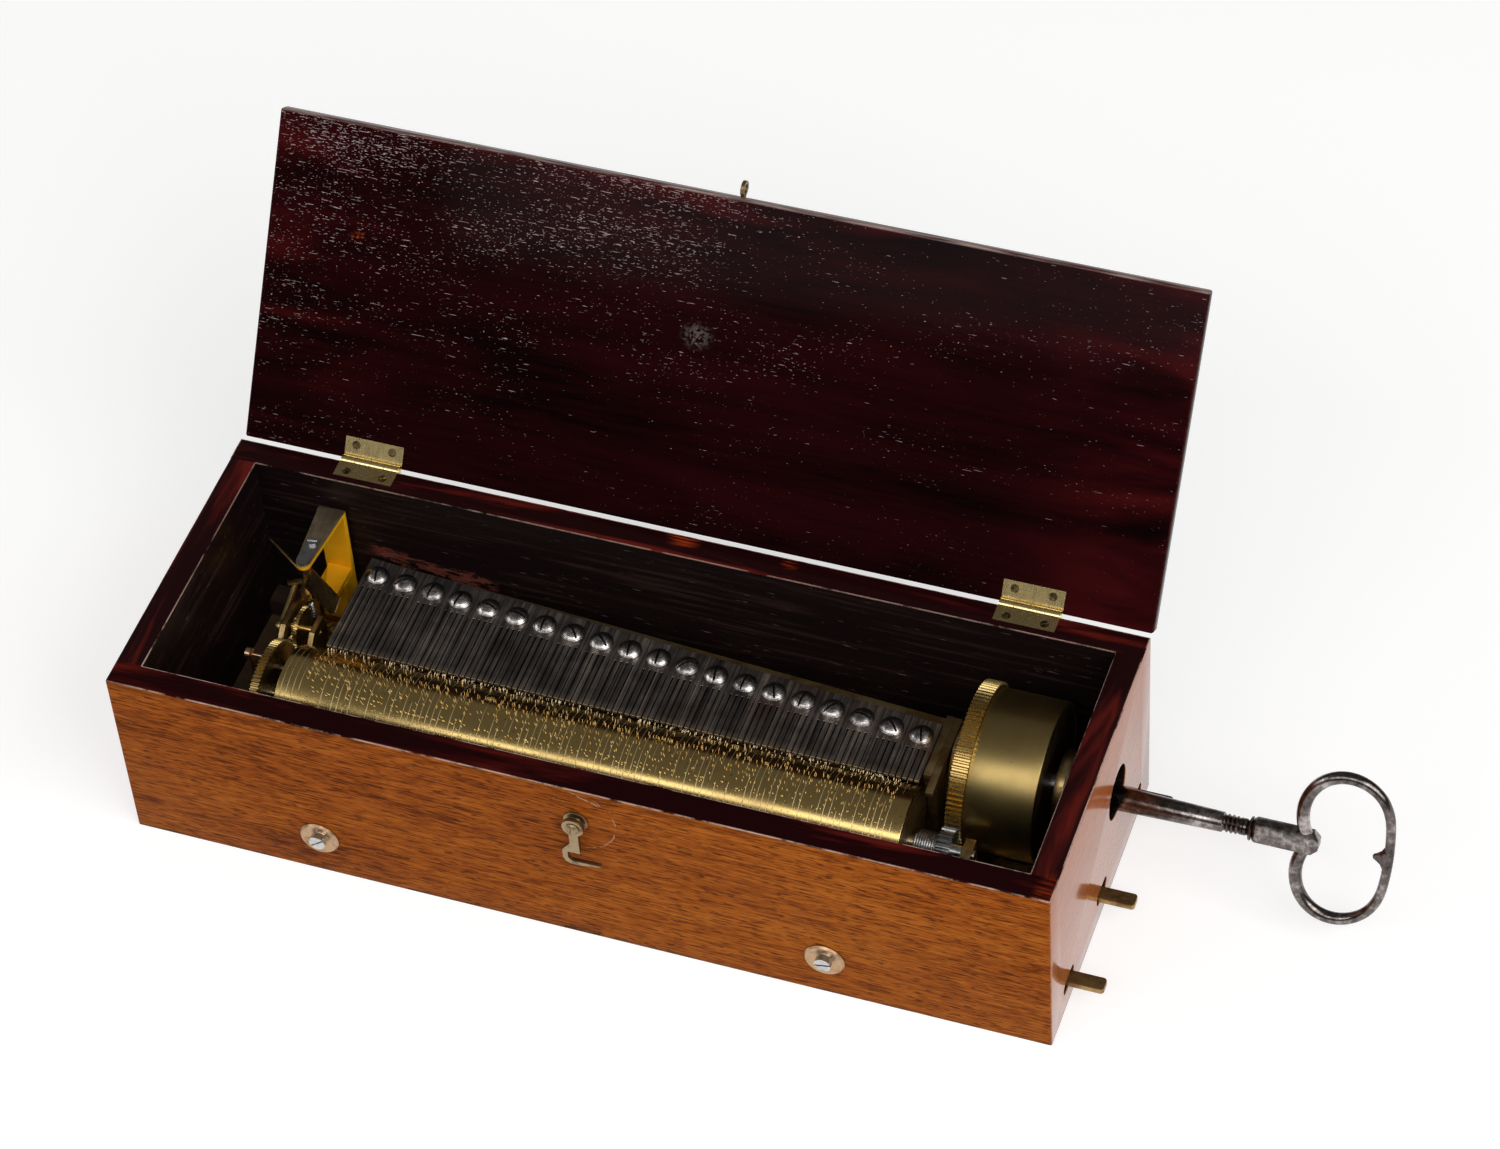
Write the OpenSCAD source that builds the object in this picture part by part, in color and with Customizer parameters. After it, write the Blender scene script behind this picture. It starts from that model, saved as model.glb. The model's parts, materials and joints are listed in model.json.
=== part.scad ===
// Key-wound cylinder music box with its lid open.
// Origin: centre of the case's underside. X runs along the case, Y to the back, Z up. Millimetres.

/* [Case] */
// Length of the case, end to end
case_l = 320; // [300:1:360]
// Depth of the case, front to back
case_d = 113; // [108:0.5:125]
// Height of the case, table to rim
case_h = 74.3; // [72:0.1:90]
// Thickness of the front, back and end boards
board_t = 9.2; // [7:0.1:10.5]
// Thickness of the bottom board
bottom_t = 6; // [4:0.1:7]
// Thickness of the hardwood rails that carry the movement
rail_h = 6.9; // [6.5:0.1:9]
// Width of the rails
rail_w = 8; // [5:0.1:11]
// Length of the rails, from the left end board
rail_l = 210; // [120:1:230]

/* [Lid and hinges] */
// Thickness of the lid
lid_t = 5; // [4:0.1:7]
// Air between the closed lid and the rim
lid_gap = 0.3; // [0.2:0.05:0.6]
// How far the lid stands past the back of the case
lid_back = 1; // [0:0.1:1.5]
// Angle that the lid stands open at
lid_open = 123.3; // [95:0.1:130]
// Distance of the hinge pin behind the back board
hinge_back = 1.53; // [1.5:0.01:2]
// Distance of the hinge pin below the rim
hinge_drop = 1.14; // [1:0.01:1.4]
// Place of the left hinge along the case
hinge_left = -113; // [-125:1:-70]
// Place of the right hinge along the case
hinge_right = 119; // [70:1:125]
// Width of a hinge
hinge_w = 21; // [18:0.5:30]
// Depth of a hinge leaf
leaf_d = 6.6; // [5.5:0.1:8]
// Thickness of a hinge leaf
leaf_t = 1; // [0.7:0.05:1.2]
// Outer radius of the hinge knuckles
knuckle_r = 1.8; // [1.5:0.05:1.85]
// Radius of the hinge pin
hinge_pin_r = 0.9; // [0.6:0.05:1]
// Radius of the hinge screw heads
hinge_screw_r = 1.5; // [1:0.1:1.8]
// Length of the hinge screws
hinge_screw_l = 3.6; // [2.5:0.1:3.8]

/* [Latch] */
// Place of the latch along the case
latch_x = 2.7; // [-40:0.1:40]
// Height of the lid above the hook's pivot, to the middle of the lid's edge
hook_reach = 17.5; // [15:0.1:22]
// Width of the hook's arm
hook_w = 3.2; // [2.4:0.1:4]
// Thickness of the hook
hook_t = 1.5; // [1:0.1:2]
// Radius of the hook's round head
hook_head_r = 3.7; // [3:0.1:4.4]
// Length of the hook's finger
finger_l = 8.4; // [6:0.1:10]
// Height of the hook's finger
finger_w = 1.6; // [1.2:0.1:1.9]
// Radius of the plate behind the hook
latch_plate_r = 4.2; // [3.5:0.1:5.5]
// Thickness of the plate behind the hook
latch_plate_t = 1; // [0.6:0.1:1.5]
// Radius of the pivot screw's shank
latch_pin_r = 1.2; // [0.9:0.1:1.6]
// Radius of the pivot screw's head
latch_head_r = 2.3; // [1.9:0.1:2.8]
// Radius of the hole in the lid's eye
eye_hole_r = 1.6; // [1.4:0.05:2]
// Outer radius of the lid's eye
eye_r = 2.7; // [2.5:0.1:3.2]
// Thickness of the lid's eye
eye_t = 1.2; // [0.9:0.1:1.6]

/* [Front screws] */
// Place of the left movement screw along the case
bed_screw_left = -91.4; // [-110:0.1:-60]
// Place of the right movement screw along the case
bed_screw_right = 84.3; // [60:0.1:100]
// Height of the movement screws above the bedplate's underside
bed_screw_rise = 4.9; // [4:0.1:6]
// Radius of the cup washers
cup_r = 6.9; // [5.5:0.1:8]
// Height of the cup washers
cup_t = 1.2; // [1:0.1:1.6]
// Radius of the screw heads
bed_screw_head_r = 2.85; // [2.4:0.05:3.4]
// Height of the screw heads
bed_screw_head_t = 2.6; // [1.8:0.1:3.2]
// Radius of the screw threads
bed_screw_r = 2; // [1.6:0.1:2.4]

/* [Bedplate] */
// Thickness of the brass bedplate
bed_t = 3.5; // [3:0.1:4]
// Gap between the bedplate and the case boards
bed_gap = 0.6; // [0.3:0.05:1]
// Length of the bedplate beyond the left of the great wheel
bed_left = 16; // [12:0.5:22]
// Height of the screw lugs above the bedplate
lug_h = 6; // [5.5:0.1:7]
// Width of the screw lugs
lug_w = 11; // [8:0.5:14]

/* [Cylinder] */
// Height of the cylinder's axis above the bedplate
cyl_rise = 19.9; // [19.5:0.1:22]
// Radius of the cylinder's brass tube
cyl_r = 18.2; // [16:0.1:18.3]
// Wall of the cylinder's tube
cyl_wall = 1.4; // [1:0.1:2.5]
// Height of the cylinder's pins
pin_h = 0.8; // [0.6:0.05:1]
// Radius of the steel arbor
arbor_r = 2.8; // [2:0.1:3]
// Travel of the cylinder from one tune to the next
tune_shift = 1.2; // [0.6:0.1:1.3]
// Gap between the great wheel and the cylinder
cyl_gap = 6.2; // [5:0.1:8]
// Width of the great wheel
great_t = 2.8; // [2:0.1:3]
// Space at the left of the great wheel for the governor
gov_room = 26.6; // [24:0.1:30]
// Radius of the driving dowel
dowel_r = 1.1; // [0.8:0.1:1.5]
// Distance of the driving dowel from the arbor
dowel_off = 11; // [8:0.1:13]
// Wire radius of the cylinder's return spring
coil_wire_r = 0.55; // [0.4:0.05:0.6]

/* [Barrel] */
// Height of the barrel's axis above the bedplate
barrel_rise = 21.6; // [21:0.1:23]
// Gap between the barrel wheel and the back board
barrel_back_gap = 0.7; // [0.5:0.05:1.5]
// Length of the spring drum
drum_l = 23; // [18:0.1:24]
// Radius of the spring drum
drum_r = 27; // [22:0.1:27.2]
// Wall of the spring drum
drum_wall = 1.6; // [1:0.1:2.5]
// Width of the barrel's toothed wheel
barrel_wheel_t = 5.4; // [4:0.1:6]
// Space between the right end board and the ratchet wheel
ratchet_room = 4; // [3:0.1:5]
// Thickness of the ratchet wheel
ratchet_t = 2; // [1.5:0.1:2.4]
// Outer radius of the ratchet wheel
ratchet_r = 8; // [6.5:0.1:9]
// Thickness of the barrel's bridges
bridge_t = 3; // [2.4:0.1:3.4]
// Radius of the left bridge's round head
left_head_r = 13; // [10:0.1:14]
// Radius of the right bridge's round head
right_head_r = 12; // [10:0.1:13]
// Radius of the barrel's arbor
barrel_arbor_r = 4; // [3:0.1:4.5]
// Side of the winding square
square_w = 5; // [4:0.1:5.2]
// Thickness of the mainspring
mainspring_t = 0.7; // [0.4:0.05:0.9]

/* [Comb] */
// Number of comb sections
sections = 20; // [16:1:24]
// Number of teeth on a section
teeth = 5; // [4:1:6]
// Height of the comb's upper face above the bedplate
comb_rise = 34.3; // [34:0.1:35.5]
// Thickness of the comb's body
comb_t = 2.4; // [2:0.1:3]
// Thickness of the teeth
tooth_t = 1.1; // [0.8:0.05:1.3]
// Width of the gap between teeth
tooth_gap = 0.5; // [0.3:0.05:0.7]
// Gap between sections
section_gap = 0.12; // [0.08:0.01:0.3]
// Distance of the screw line behind the tooth tips at the left end
screw_line_left = 33.5; // [31:0.1:36]
// Distance of the screw line behind the tooth tips at the right end
screw_line_right = 17.7; // [16:0.1:24]
// Distance from the screw line to the tooth roots
root_off = 5.4; // [5:0.1:6.5]
// Distance from the screw line to the comb's back edge
comb_back = 7.2; // [5.5:0.1:8]
// Radius of the comb screws' heads
comb_head_r = 4.1; // [3.4:0.1:4.5]
// Height of the comb screws' heads
comb_head_h = 3; // [2:0.1:3.6]
// Radius of the comb screws' threads
comb_screw_r = 1.5; // [1.2:0.1:2]
// Ledge of the brass comb base behind the steel at the left end
ledge_left = 1.7; // [1:0.1:4]
// Ledge of the brass comb base behind the steel at the right end
ledge_right = 4.6; // [2:0.1:6]
// Thickness of the comb base's bar
base_bar_t = 6.6; // [5:0.1:8]

/* [Governor] */
// Distance of the worm wheel's arbor behind the cylinder's axis
gov_back = 28.6; // [28.2:0.1:29.4]
// Length of the governor cock behind the fly's shaft
cock_l = 25.3; // [24:0.1:26]
// Height of the governor cock's upper arm above the bedplate
cock_rise = 43.6; // [42:0.1:45]
// Thickness of the governor cock's arms
cock_t = 2; // [1.6:0.1:2.4]
// Width of the governor cock at its back
cock_w = 9.5; // [8:0.1:11]
// Width of the governor cock at its tip
cock_tip_w = 5; // [4:0.1:6]
// Radius of the fly's wings
wing_l = 18.9; // [12:0.1:19]
// Depth of a fly wing
wing_w = 8; // [6:0.1:8.6]
// Thickness of a fly wing
wing_t = 0.5; // [0.4:0.05:0.8]
// Radius of the worm's core
worm_core_r = 0.9; // [0.7:0.05:1]

/* [Control levers] */
// Width of a control lever
lever_w = 5.2; // [4:0.1:5.6]
// Thickness of a control lever
lever_t = 2.3; // [1.8:0.1:2.5]
// Length of a lever outside the case
lever_out = 12; // [8:0.1:18]
// Length of a lever from its pivot to the outer face of the end board
lever_arm = 62; // [50:1:75]
// Distance of the front lever's slot from the front board
slot_front = 9.8; // [9:0.1:14]
// Place of the middle lever's slot, front to back
slot_middle = 0; // [-5:0.1:2]
// Distance of the back lever's slot from the back board
slot_back = 6.3; // [6.2:0.1:9]
// Length of a slot
slot_l = 11.4; // [11:0.1:12]
// Height of a slot
slot_h = 5.4; // [4.5:0.1:6]

/* [Key] */
// Length of the key, pipe mouth to bow
key_l = 101.5; // [90:0.5:115]
// Radius of the key's pipe at its mouth
key_r = 4.35; // [4:0.05:4.8]
// Radius of the key's pipe at its collar
key_neck_r = 3.35; // [3:0.05:3.8]
// Half width of the key's bow
bow_half = 29.8; // [24:0.1:34]
// Length of the key's bow along the key
bow_l = 32.6; // [28:0.1:36]
// Thickness of the key's bow
bow_t = 4; // [3:0.1:5]
// Lean of the bow from the vertical
bow_lean = 16; // [0:1:45]
// Radius of the key hole
key_hole_r = 9.5; // [8:0.1:11]
// Height of the key hole's centre over the key
key_hole_up = 2.8; // [0:0.1:3.5]

/* [Hidden] */
$fn = 48;

eps = 0.01;
cut = 1;                       // how far a cutting tool runs past a face
run_fit = 0.06;                // running clearance of pins and arbors
side_fit = 0.3;                // side clearance between moving pieces
slot_w = 0.7;                  // width of a screw slot

inner_x = case_l / 2 - board_t;
inner_y = case_d / 2 - board_t;
bed_z = bottom_t + rail_h;
bed_top = bed_z + bed_t;

// Gear train: tooth counts and modules
barrel_teeth = 96;
pinion_teeth = 24;
main_mod = 0.585;
great_teeth = 80;
second_pinion_teeth = 16;
great_mod = 0.45;
second_teeth = 45;
third_pinion_teeth = 15;
second_mod = 0.4;
worm_teeth = 36;
worm_mod = 0.4;
tooth_add = 0.8;               // height of a tooth over the pitch circle, in modules
tooth_ded = 1.1;               // depth of a tooth under the pitch circle, in modules

barrel_wheel_r = main_mod * barrel_teeth / 2;
barrel_tip_r = barrel_wheel_r + main_mod * tooth_add;
main_dist = main_mod * (barrel_teeth + pinion_teeth) / 2;
barrel_y = inner_y - barrel_back_gap - barrel_tip_r;
barrel_z = bed_top + barrel_rise;
cyl_z = bed_top + cyl_rise;
cyl_y = barrel_y - sqrt(pow(main_dist, 2) - pow(barrel_z - cyl_z, 2));
main_angle = atan2(barrel_z - cyl_z, barrel_y - cyl_y);

// Places along the case, worked out from the right end board
ratchet_x = inner_x - ratchet_room - ratchet_t;
right_bridge_x = ratchet_x - 0.6 - bridge_t;
drum_end_x = right_bridge_x - 2.4;
barrel_wheel_x = drum_end_x - drum_l - barrel_wheel_t;
left_bridge_x = barrel_wheel_x - 1.3 - bridge_t;
base_leg_t = 2.6;
base_leg_x = left_bridge_x - 0.5 - base_leg_t;
cyl_x1 = base_leg_x - tune_shift - 0.6;
great_x = -inner_x + gov_room;
cyl_x0 = great_x + great_t + cyl_gap;
pinion_x = barrel_wheel_x + 0.4;
pinion_t = barrel_wheel_t - 0.8;
right_bearing_x = barrel_wheel_x + barrel_wheel_t + 2.9;
bearing_t = 3.4;
left_bearing_x = great_x - 1.4 - bearing_t;
bed_x0 = great_x - bed_left;
bed_x1 = inner_x - bed_gap - 1;
bed_half_d = inner_y - bed_gap;

// Comb
comb_z = bed_top + comb_rise;
tip_y = cyl_y + sqrt(pow(cyl_r + pin_h, 2) - pow(comb_z - tooth_t - cyl_z, 2));
comb_x0 = cyl_x0 + 8.2;
comb_x1 = cyl_x1 - 1;
section_p = (comb_x1 - comb_x0) / sections;
tooth_p = (section_p - section_gap) / teeth;
comb_base_z = comb_z - comb_t;
comb_slot_turns = [100, 35, 80, 75, 170, 175, 88, 130, 140, 95, 92, 40, 96, 84, 110, 80, 50, 172, 135, 105];

// Governor: arbors of the second wheel and of the worm wheel
second_dist = great_mod * (great_teeth + second_pinion_teeth) / 2;
second_angle = -20;
second_y = cyl_y + second_dist * cos(second_angle);
second_z = cyl_z + second_dist * sin(second_angle);
third_dist = second_mod * (second_teeth + third_pinion_teeth) / 2;
third_y = cyl_y + gov_back;
third_z = second_z + sqrt(pow(third_dist, 2) - pow(third_y - second_y, 2));
third_angle = atan2(third_z - second_z, third_y - second_y);
worm_wheel_r = worm_mod * worm_teeth / 2;
worm_pitch = PI * worm_mod;
worm_r = worm_core_r + 0.6;
worm_y = third_y + worm_wheel_r + worm_mod * tooth_add + 0.15 + worm_core_r;
worm_wheel_t = 1.4;
worm_x = great_x + worm_wheel_t / 2;
worm_wheel_x = worm_x - worm_wheel_t / 2;
second_wheel_t = 1.3;
second_wheel_x = great_x - 0.7 - second_wheel_t;
frame_plate_t = 1.8;
frame_left_x = second_wheel_x - 1.2 - frame_plate_t;
frame_right_x = great_x + great_t + 2.6;
pivot_r = 0.8;
cock_top = bed_top + cock_rise + cock_t;
cock_low = third_z - 2.3;
cock_back_y = worm_y + cock_l;
fly_top = cock_top - cock_t - 1;
fly_z = fly_top - wing_w / 2;
wing_pitch = 26;
wing_turn = 146;

// Hinges, lid and latch
pin_y = case_d / 2 + hinge_back;
pin_z = case_h - hinge_drop;
lid_z = case_h + lid_gap;
eye_y = -case_d / 2 - eye_r - 0.4;
eye_z = lid_z + lid_t / 2;
hook_z = eye_z - hook_reach;
hook_y = eye_y + hook_t / 2;
knuckles = 4;
knuckle_l = hinge_w / knuckles;
knuckle_gap = 0.15;

// Levers
lever_z = bed_z - 0.5 - lever_t;
lever_pivot_x = case_l / 2 - lever_arm;
lever_pivot_r = 1.6;
lever_swing_rest = [0.7, -1.3, 0.4];
slot_z = lever_z + lever_t / 2;

// Key
key_x0 = inner_x - 1.2;
key_fit = 0.2;
key_hole_z = barrel_z + key_hole_up;
square_x0 = ratchet_x + ratchet_t + 0.4;
square_x1 = case_l / 2 - 1.5;

function polar(r, a) = [r * cos(a), r * sin(a)];

// Outline of a gear: three pairs of points to a tooth, tooth 0 centred on angle 0
function gear_points(n, m, slim = 0) =
    [for (i = [0 : n - 1], p = [
            [-0.34, -tooth_ded], [-0.205 + slim, 0], [-0.1 + slim / 2, tooth_add],
            [0.1 - slim / 2, tooth_add], [0.205 - slim, 0], [0.34, -tooth_ded]])
        polar(m * n / 2 + m * p[1], (i + p[0]) * 360 / n)];

// Puts a shape drawn in XY with its thickness up Z across the case: x to Y, y to Z, thickness along X
module along_x(x, y, z) {
    translate([x, y, z]) rotate([90, 0, 90]) children();
}

// A shaft along X
module shaft_x(x0, x1, y, z, r) {
    along_x(x0, y, z) cylinder(h = x1 - x0, r = r);
}

module gear(n, m, t, bore, slim = 0) {
    difference() {
        linear_extrude(t) polygon(gear_points(n, m, slim));
        translate([0, 0, -cut]) cylinder(h = t + 2 * cut, r = bore);
    }
}

// A slotted screw standing on z = 0 with its shank down, the slot turned by turn
module slotted_screw(head_r, head_h, shank_r, shank_l, turn = 0, dome = false) {
    difference() {
        union() {
            if (dome)
                rotate_extrude() intersection() {
                    translate([0, head_h - head_r * 1.25]) circle(r = head_r * 1.25);
                    square([head_r, head_h]);
                }
            else
                cylinder(h = head_h, r = head_r);
            translate([0, 0, -shank_l]) cylinder(h = shank_l + eps, r = shank_r);
        }
        rotate([0, 0, turn])
            translate([-head_r - cut, -slot_w / 2, head_h * 0.55])
                cube([2 * head_r + 2 * cut, slot_w, head_h + cut]);
    }
}

// ---- Case ----

bed_screw_z = bed_z + bed_screw_rise;
bed_screw_xs = [bed_screw_left, bed_screw_right];
hinge_xs = [hinge_left, hinge_right];

module case_front() {
    color("peru") difference() {
        translate([-case_l / 2, -case_d / 2, 0]) cube([case_l, board_t, case_h]);
        for (x = bed_screw_xs)
            translate([x, -case_d / 2 - cut, bed_screw_z]) rotate([-90, 0, 0])
                cylinder(h = board_t + 2 * cut, r = bed_screw_r);
        translate([latch_x, -case_d / 2 - cut, hook_z]) rotate([-90, 0, 0])
            cylinder(h = latch_hold + cut, r = latch_pin_r);
    }
}

// Recesses for the hinge leaves and their screws in the back board's rim
module case_hinge_cuts() {
    for (x = hinge_xs) {
        translate([x - hinge_w / 2, case_d / 2 - leaf_d, case_h - leaf_t])
            cube([hinge_w, leaf_d + cut, leaf_t + cut]);
        translate([x - hinge_w / 2 - side_fit, pin_y, pin_z]) rotate([0, 90, 0])
            cylinder(h = hinge_w + 2 * side_fit, r = knuckle_r + side_fit);
        for (side = [-1, 1])
            translate([x + side * hinge_screw_x, case_screw_y, case_h - leaf_t - hinge_screw_l])
                cylinder(h = hinge_screw_l + cut, r = hinge_shank_r);
    }
}

module case_back() {
    color("sienna") difference() {
        translate([-case_l / 2, inner_y, 0]) cube([case_l, board_t, case_h]);
        case_hinge_cuts();
    }
}

module end_board(x) {
    translate([x, -inner_y, 0]) cube([board_t, 2 * inner_y, case_h]);
}

module case_left_end() {
    color("saddlebrown") end_board(-case_l / 2);
}

module lever_slot(y) {
    for (side = [-1, 1])
        translate([inner_x - cut, y + side * (slot_l - slot_h) / 2, slot_z]) rotate([0, 90, 0])
            cylinder(h = board_t + 2 * cut, r = slot_h / 2);
    translate([inner_x - cut, y - (slot_l - slot_h) / 2, slot_z - slot_h / 2])
        cube([board_t + 2 * cut, slot_l - slot_h, slot_h]);
}

module case_right_end() {
    color("saddlebrown") difference() {
        end_board(inner_x);
        shaft_x(inner_x - cut, case_l / 2 + cut, barrel_y, key_hole_z, key_hole_r);
        for (y = slot_ys)
            lever_slot(y);
    }
}

module case_bottom() {
    color("burlywood") translate([-inner_x, -inner_y, 0]) cube([2 * inner_x, 2 * inner_y, bottom_t]);
}

module movement_rails() {
    color("tan")
        for (y = [-inner_y, inner_y - rail_w])
            translate([-inner_x, y, bottom_t]) cube([rail_l, rail_w, rail_h]);
}

// ---- Lid and hinges ----

hinge_shank_r = 0.7;
hinge_screw_x = hinge_w / 2 - 4;
case_screw_y = case_d / 2 - leaf_d / 2 - 0.7;
lid_screw_y = case_screw_y;

// Swings a shape drawn in the closed lid's place to the open one
module opened() {
    translate([0, pin_y, pin_z]) rotate([-lid_open, 0, 0]) translate([0, -pin_y, -pin_z]) children();
}

module lid() {
    color("maroon") opened() difference() {
        translate([-case_l / 2, -case_d / 2, lid_z]) cube([case_l, case_d + lid_back, lid_t]);
        for (x = hinge_xs) {
            translate([x - hinge_w / 2, case_d / 2 - leaf_d, lid_z - cut])
                cube([hinge_w, leaf_d + lid_back + cut, leaf_t + cut]);
            for (side = [-1, 1])
                translate([x + side * hinge_screw_x, lid_screw_y, lid_z])
                    cylinder(h = leaf_t + hinge_screw_l, r = hinge_shank_r);
        }
        translate([latch_x, -case_d / 2 - cut, eye_z]) rotate([-90, 0, 0])
            cylinder(h = eye_shank_l + cut, r = eye_shank_r);
    }
}

eye_shank_l = 5;
eye_shank_r = 0.9;

module lid_eye() {
    color("darkgoldenrod") opened() difference() {
        union() {
            translate([latch_x - eye_t / 2, eye_y, eye_z]) rotate([0, 90, 0])
                cylinder(h = eye_t, r = eye_r);
            translate([latch_x, -case_d / 2 + eye_shank_l, eye_z]) rotate([90, 0, 0])
                cylinder(h = eye_shank_l + eye_r - eye_hole_r + 0.2, r = eye_shank_r);
        }
        translate([latch_x - eye_t, eye_y, eye_z]) rotate([0, 90, 0])
            cylinder(h = 2 * eye_t, r = eye_hole_r);
    }
}

// Knuckles of one leaf: first = 0 for the lid's, 1 for the case's
module leaf_knuckles(x, first) {
    for (k = [first : 2 : knuckles - 1])
        translate([x - hinge_w / 2 + k * knuckle_l + knuckle_gap / 2, pin_y, pin_z]) rotate([0, 90, 0])
            cylinder(h = knuckle_l - knuckle_gap, r = knuckle_r);
}

// Web from a leaf's back edge to its knuckles
module leaf_webs(x, first, z0, z1) {
    for (k = [first : 2 : knuckles - 1])
        translate([x - hinge_w / 2 + k * knuckle_l + knuckle_gap / 2, case_d / 2 - 0.6, z0])
            cube([knuckle_l - knuckle_gap, hinge_back + 0.6, z1 - z0]);
}

// Room that a leaf leaves for the other leaf's knuckles
module knuckle_room(x, first) {
    for (k = [first : 2 : knuckles - 1])
        translate([x - hinge_w / 2 + k * knuckle_l - knuckle_gap / 2, pin_y, pin_z]) rotate([0, 90, 0])
            cylinder(h = knuckle_l + knuckle_gap, r = knuckle_r + 0.15);
}

module pin_bore(x, fit) {
    translate([x - hinge_w / 2 - cut, pin_y, pin_z]) rotate([0, 90, 0])
        cylinder(h = hinge_w + 2 * cut, r = hinge_pin_r + fit);
}

// Holes for a leaf's two screws, sunk from its face at z toward the side given by up
module leaf_screw_holes(x, y, z, up) {
    for (side = [-1, 1])
        translate([x + side * hinge_screw_x, y, z]) rotate([up > 0 ? 180 : 0, 0, 0]) {
            translate([0, 0, -cut]) cylinder(h = leaf_t + 2 * cut, r = hinge_shank_r);
            translate([0, 0, -cut]) cylinder(h = hinge_head_h + cut, r = hinge_screw_r);
        }
}

hinge_head_h = 0.45;

module hinge_case_leaves() {
    color("gold")
        for (x = hinge_xs)
            difference() {
                union() {
                    translate([x - hinge_w / 2, case_d / 2 - leaf_d, case_h - leaf_t])
                        cube([hinge_w, leaf_d, leaf_t]);
                    leaf_webs(x, 1, case_h - leaf_t, case_h);
                    leaf_knuckles(x, 1);
                }
                knuckle_room(x, 0);
                pin_bore(x, 0);
                leaf_screw_holes(x, case_screw_y, case_h, 1);
            }
}

module hinge_lid_leaves() {
    color("gold") opened()
        for (x = hinge_xs)
            difference() {
                union() {
                    translate([x - hinge_w / 2, case_d / 2 - leaf_d, lid_z])
                        cube([hinge_w, leaf_d, leaf_t]);
                    leaf_webs(x, 0, lid_z, lid_z + leaf_t);
                    leaf_knuckles(x, 0);
                    for (k = [0 : 2 : knuckles - 1])
                        translate([x - hinge_w / 2 + k * knuckle_l + knuckle_gap / 2,
                                pin_y - hinge_pin_r, pin_z + hinge_pin_r + 0.2])
                            cube([knuckle_l - knuckle_gap, 2 * hinge_pin_r, lid_z - pin_z - hinge_pin_r]);
                }
                knuckle_room(x, 1);
                pin_bore(x, run_fit);
                leaf_screw_holes(x, lid_screw_y, lid_z, -1);
            }
}

module hinge_pins() {
    color("goldenrod")
        for (x = hinge_xs)
            translate([x - hinge_w / 2, pin_y, pin_z]) rotate([0, 90, 0])
                cylinder(h = hinge_w, r = hinge_pin_r);
}

module hinge_case_screws() {
    color("khaki")
        for (x = hinge_xs, side = [-1, 1])
            translate([x + side * hinge_screw_x, case_screw_y, case_h - hinge_head_h])
                slotted_screw(hinge_screw_r, hinge_head_h, hinge_shank_r,
                    leaf_t + hinge_screw_l - hinge_head_h, 30 * side);
}

module hinge_lid_screws() {
    color("khaki") opened()
        for (x = hinge_xs, side = [-1, 1])
            translate([x + side * hinge_screw_x, lid_screw_y, lid_z + hinge_head_h]) rotate([180, 0, 0])
                slotted_screw(hinge_screw_r, hinge_head_h, hinge_shank_r,
                    leaf_t + hinge_screw_l - hinge_head_h, 20 - 60 * side);
}

// ---- Latch ----

latch_head_t = 1.4;
latch_hold = 6;                // depth of the pivot screw in the front board
latch_head_y = hook_y - hook_t - 0.1;
mouth_h = 4.2;
curl_out = 2.9;

module latch_plate() {
    plate_front = hook_y + 0.1;
    color("darkkhaki") translate([latch_x, -case_d / 2, hook_z]) rotate([90, 0, 0]) difference() {
        union() {
            cylinder(h = latch_plate_t, r = latch_plate_r);
            cylinder(h = -case_d / 2 - plate_front, r = latch_pin_r + 1);
        }
        translate([0, 0, -cut]) cylinder(h = 10, r = latch_pin_r);
    }
}

// The hook's outline in X and Z, hanging down from its pivot at the origin
module hook_outline() {
    arm_l = hook_reach - finger_w / 2 - mouth_h;
    left = -hook_w / 2 - curl_out;
    low = -hook_reach - finger_w / 2;
    slope = 1.15;
    difference() {
        union() {
            circle(r = hook_head_r);
            translate([-hook_w / 2, -arm_l]) square([hook_w, arm_l]);
            polygon([[-hook_w / 2, -arm_l + 4.5], [left + 0.9, -arm_l + 1.9], [left, -arm_l + 0.6],
                [left, low + 2.6], [left + 0.9, low + 0.8], [left + 2.8, low], [0.8, low],
                [0.8, -arm_l]]);
        }
        polygon([[left + 1.8, -arm_l], [2, -arm_l], [2, low + finger_w], [left + 2.9, low + finger_w],
            [left + 1.8, low + finger_w + 1.2]]);
    }
    // finger, its outer edge falling away toward the tip so that it can swing into the eye
    polygon([[-0.5, low], [0.8, low], [finger_l - 0.7, low + slope], [finger_l, low + slope + 0.35],
        [finger_l, low + finger_w + 0.05], [finger_l - 0.7, low + finger_w + 0.25],
        [-0.5, low + finger_w]]);
}

module latch_hook() {
    color("goldenrod") translate([latch_x, hook_y, hook_z]) rotate([90, 0, 0]) difference() {
        linear_extrude(hook_t) hook_outline();
        translate([0, 0, -cut]) cylinder(h = hook_t + 2 * cut, r = latch_pin_r + run_fit);
    }
}

module latch_pivot_screw() {
    color("khaki") translate([latch_x, latch_head_y, hook_z]) rotate([90, 0, 0])
        slotted_screw(latch_head_r, latch_head_t, latch_pin_r,
            latch_hold - case_d / 2 - latch_head_y, 80, dome = true);
}

// ---- Movement screws through the front ----

module cup_washers() {
    color("goldenrod")
        for (x = bed_screw_xs)
            translate([x, -case_d / 2, bed_screw_z]) rotate([90, 0, 0]) rotate_extrude()
                polygon([[bed_screw_r, 0], [cup_r, 0], [cup_r, cup_t * 0.5], [cup_r - 0.5, cup_t],
                    [cup_r - 1.1, cup_t], [bed_screw_head_r + 0.3, cup_t * 0.35],
                    [bed_screw_r, cup_t * 0.35]]);
}

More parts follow.
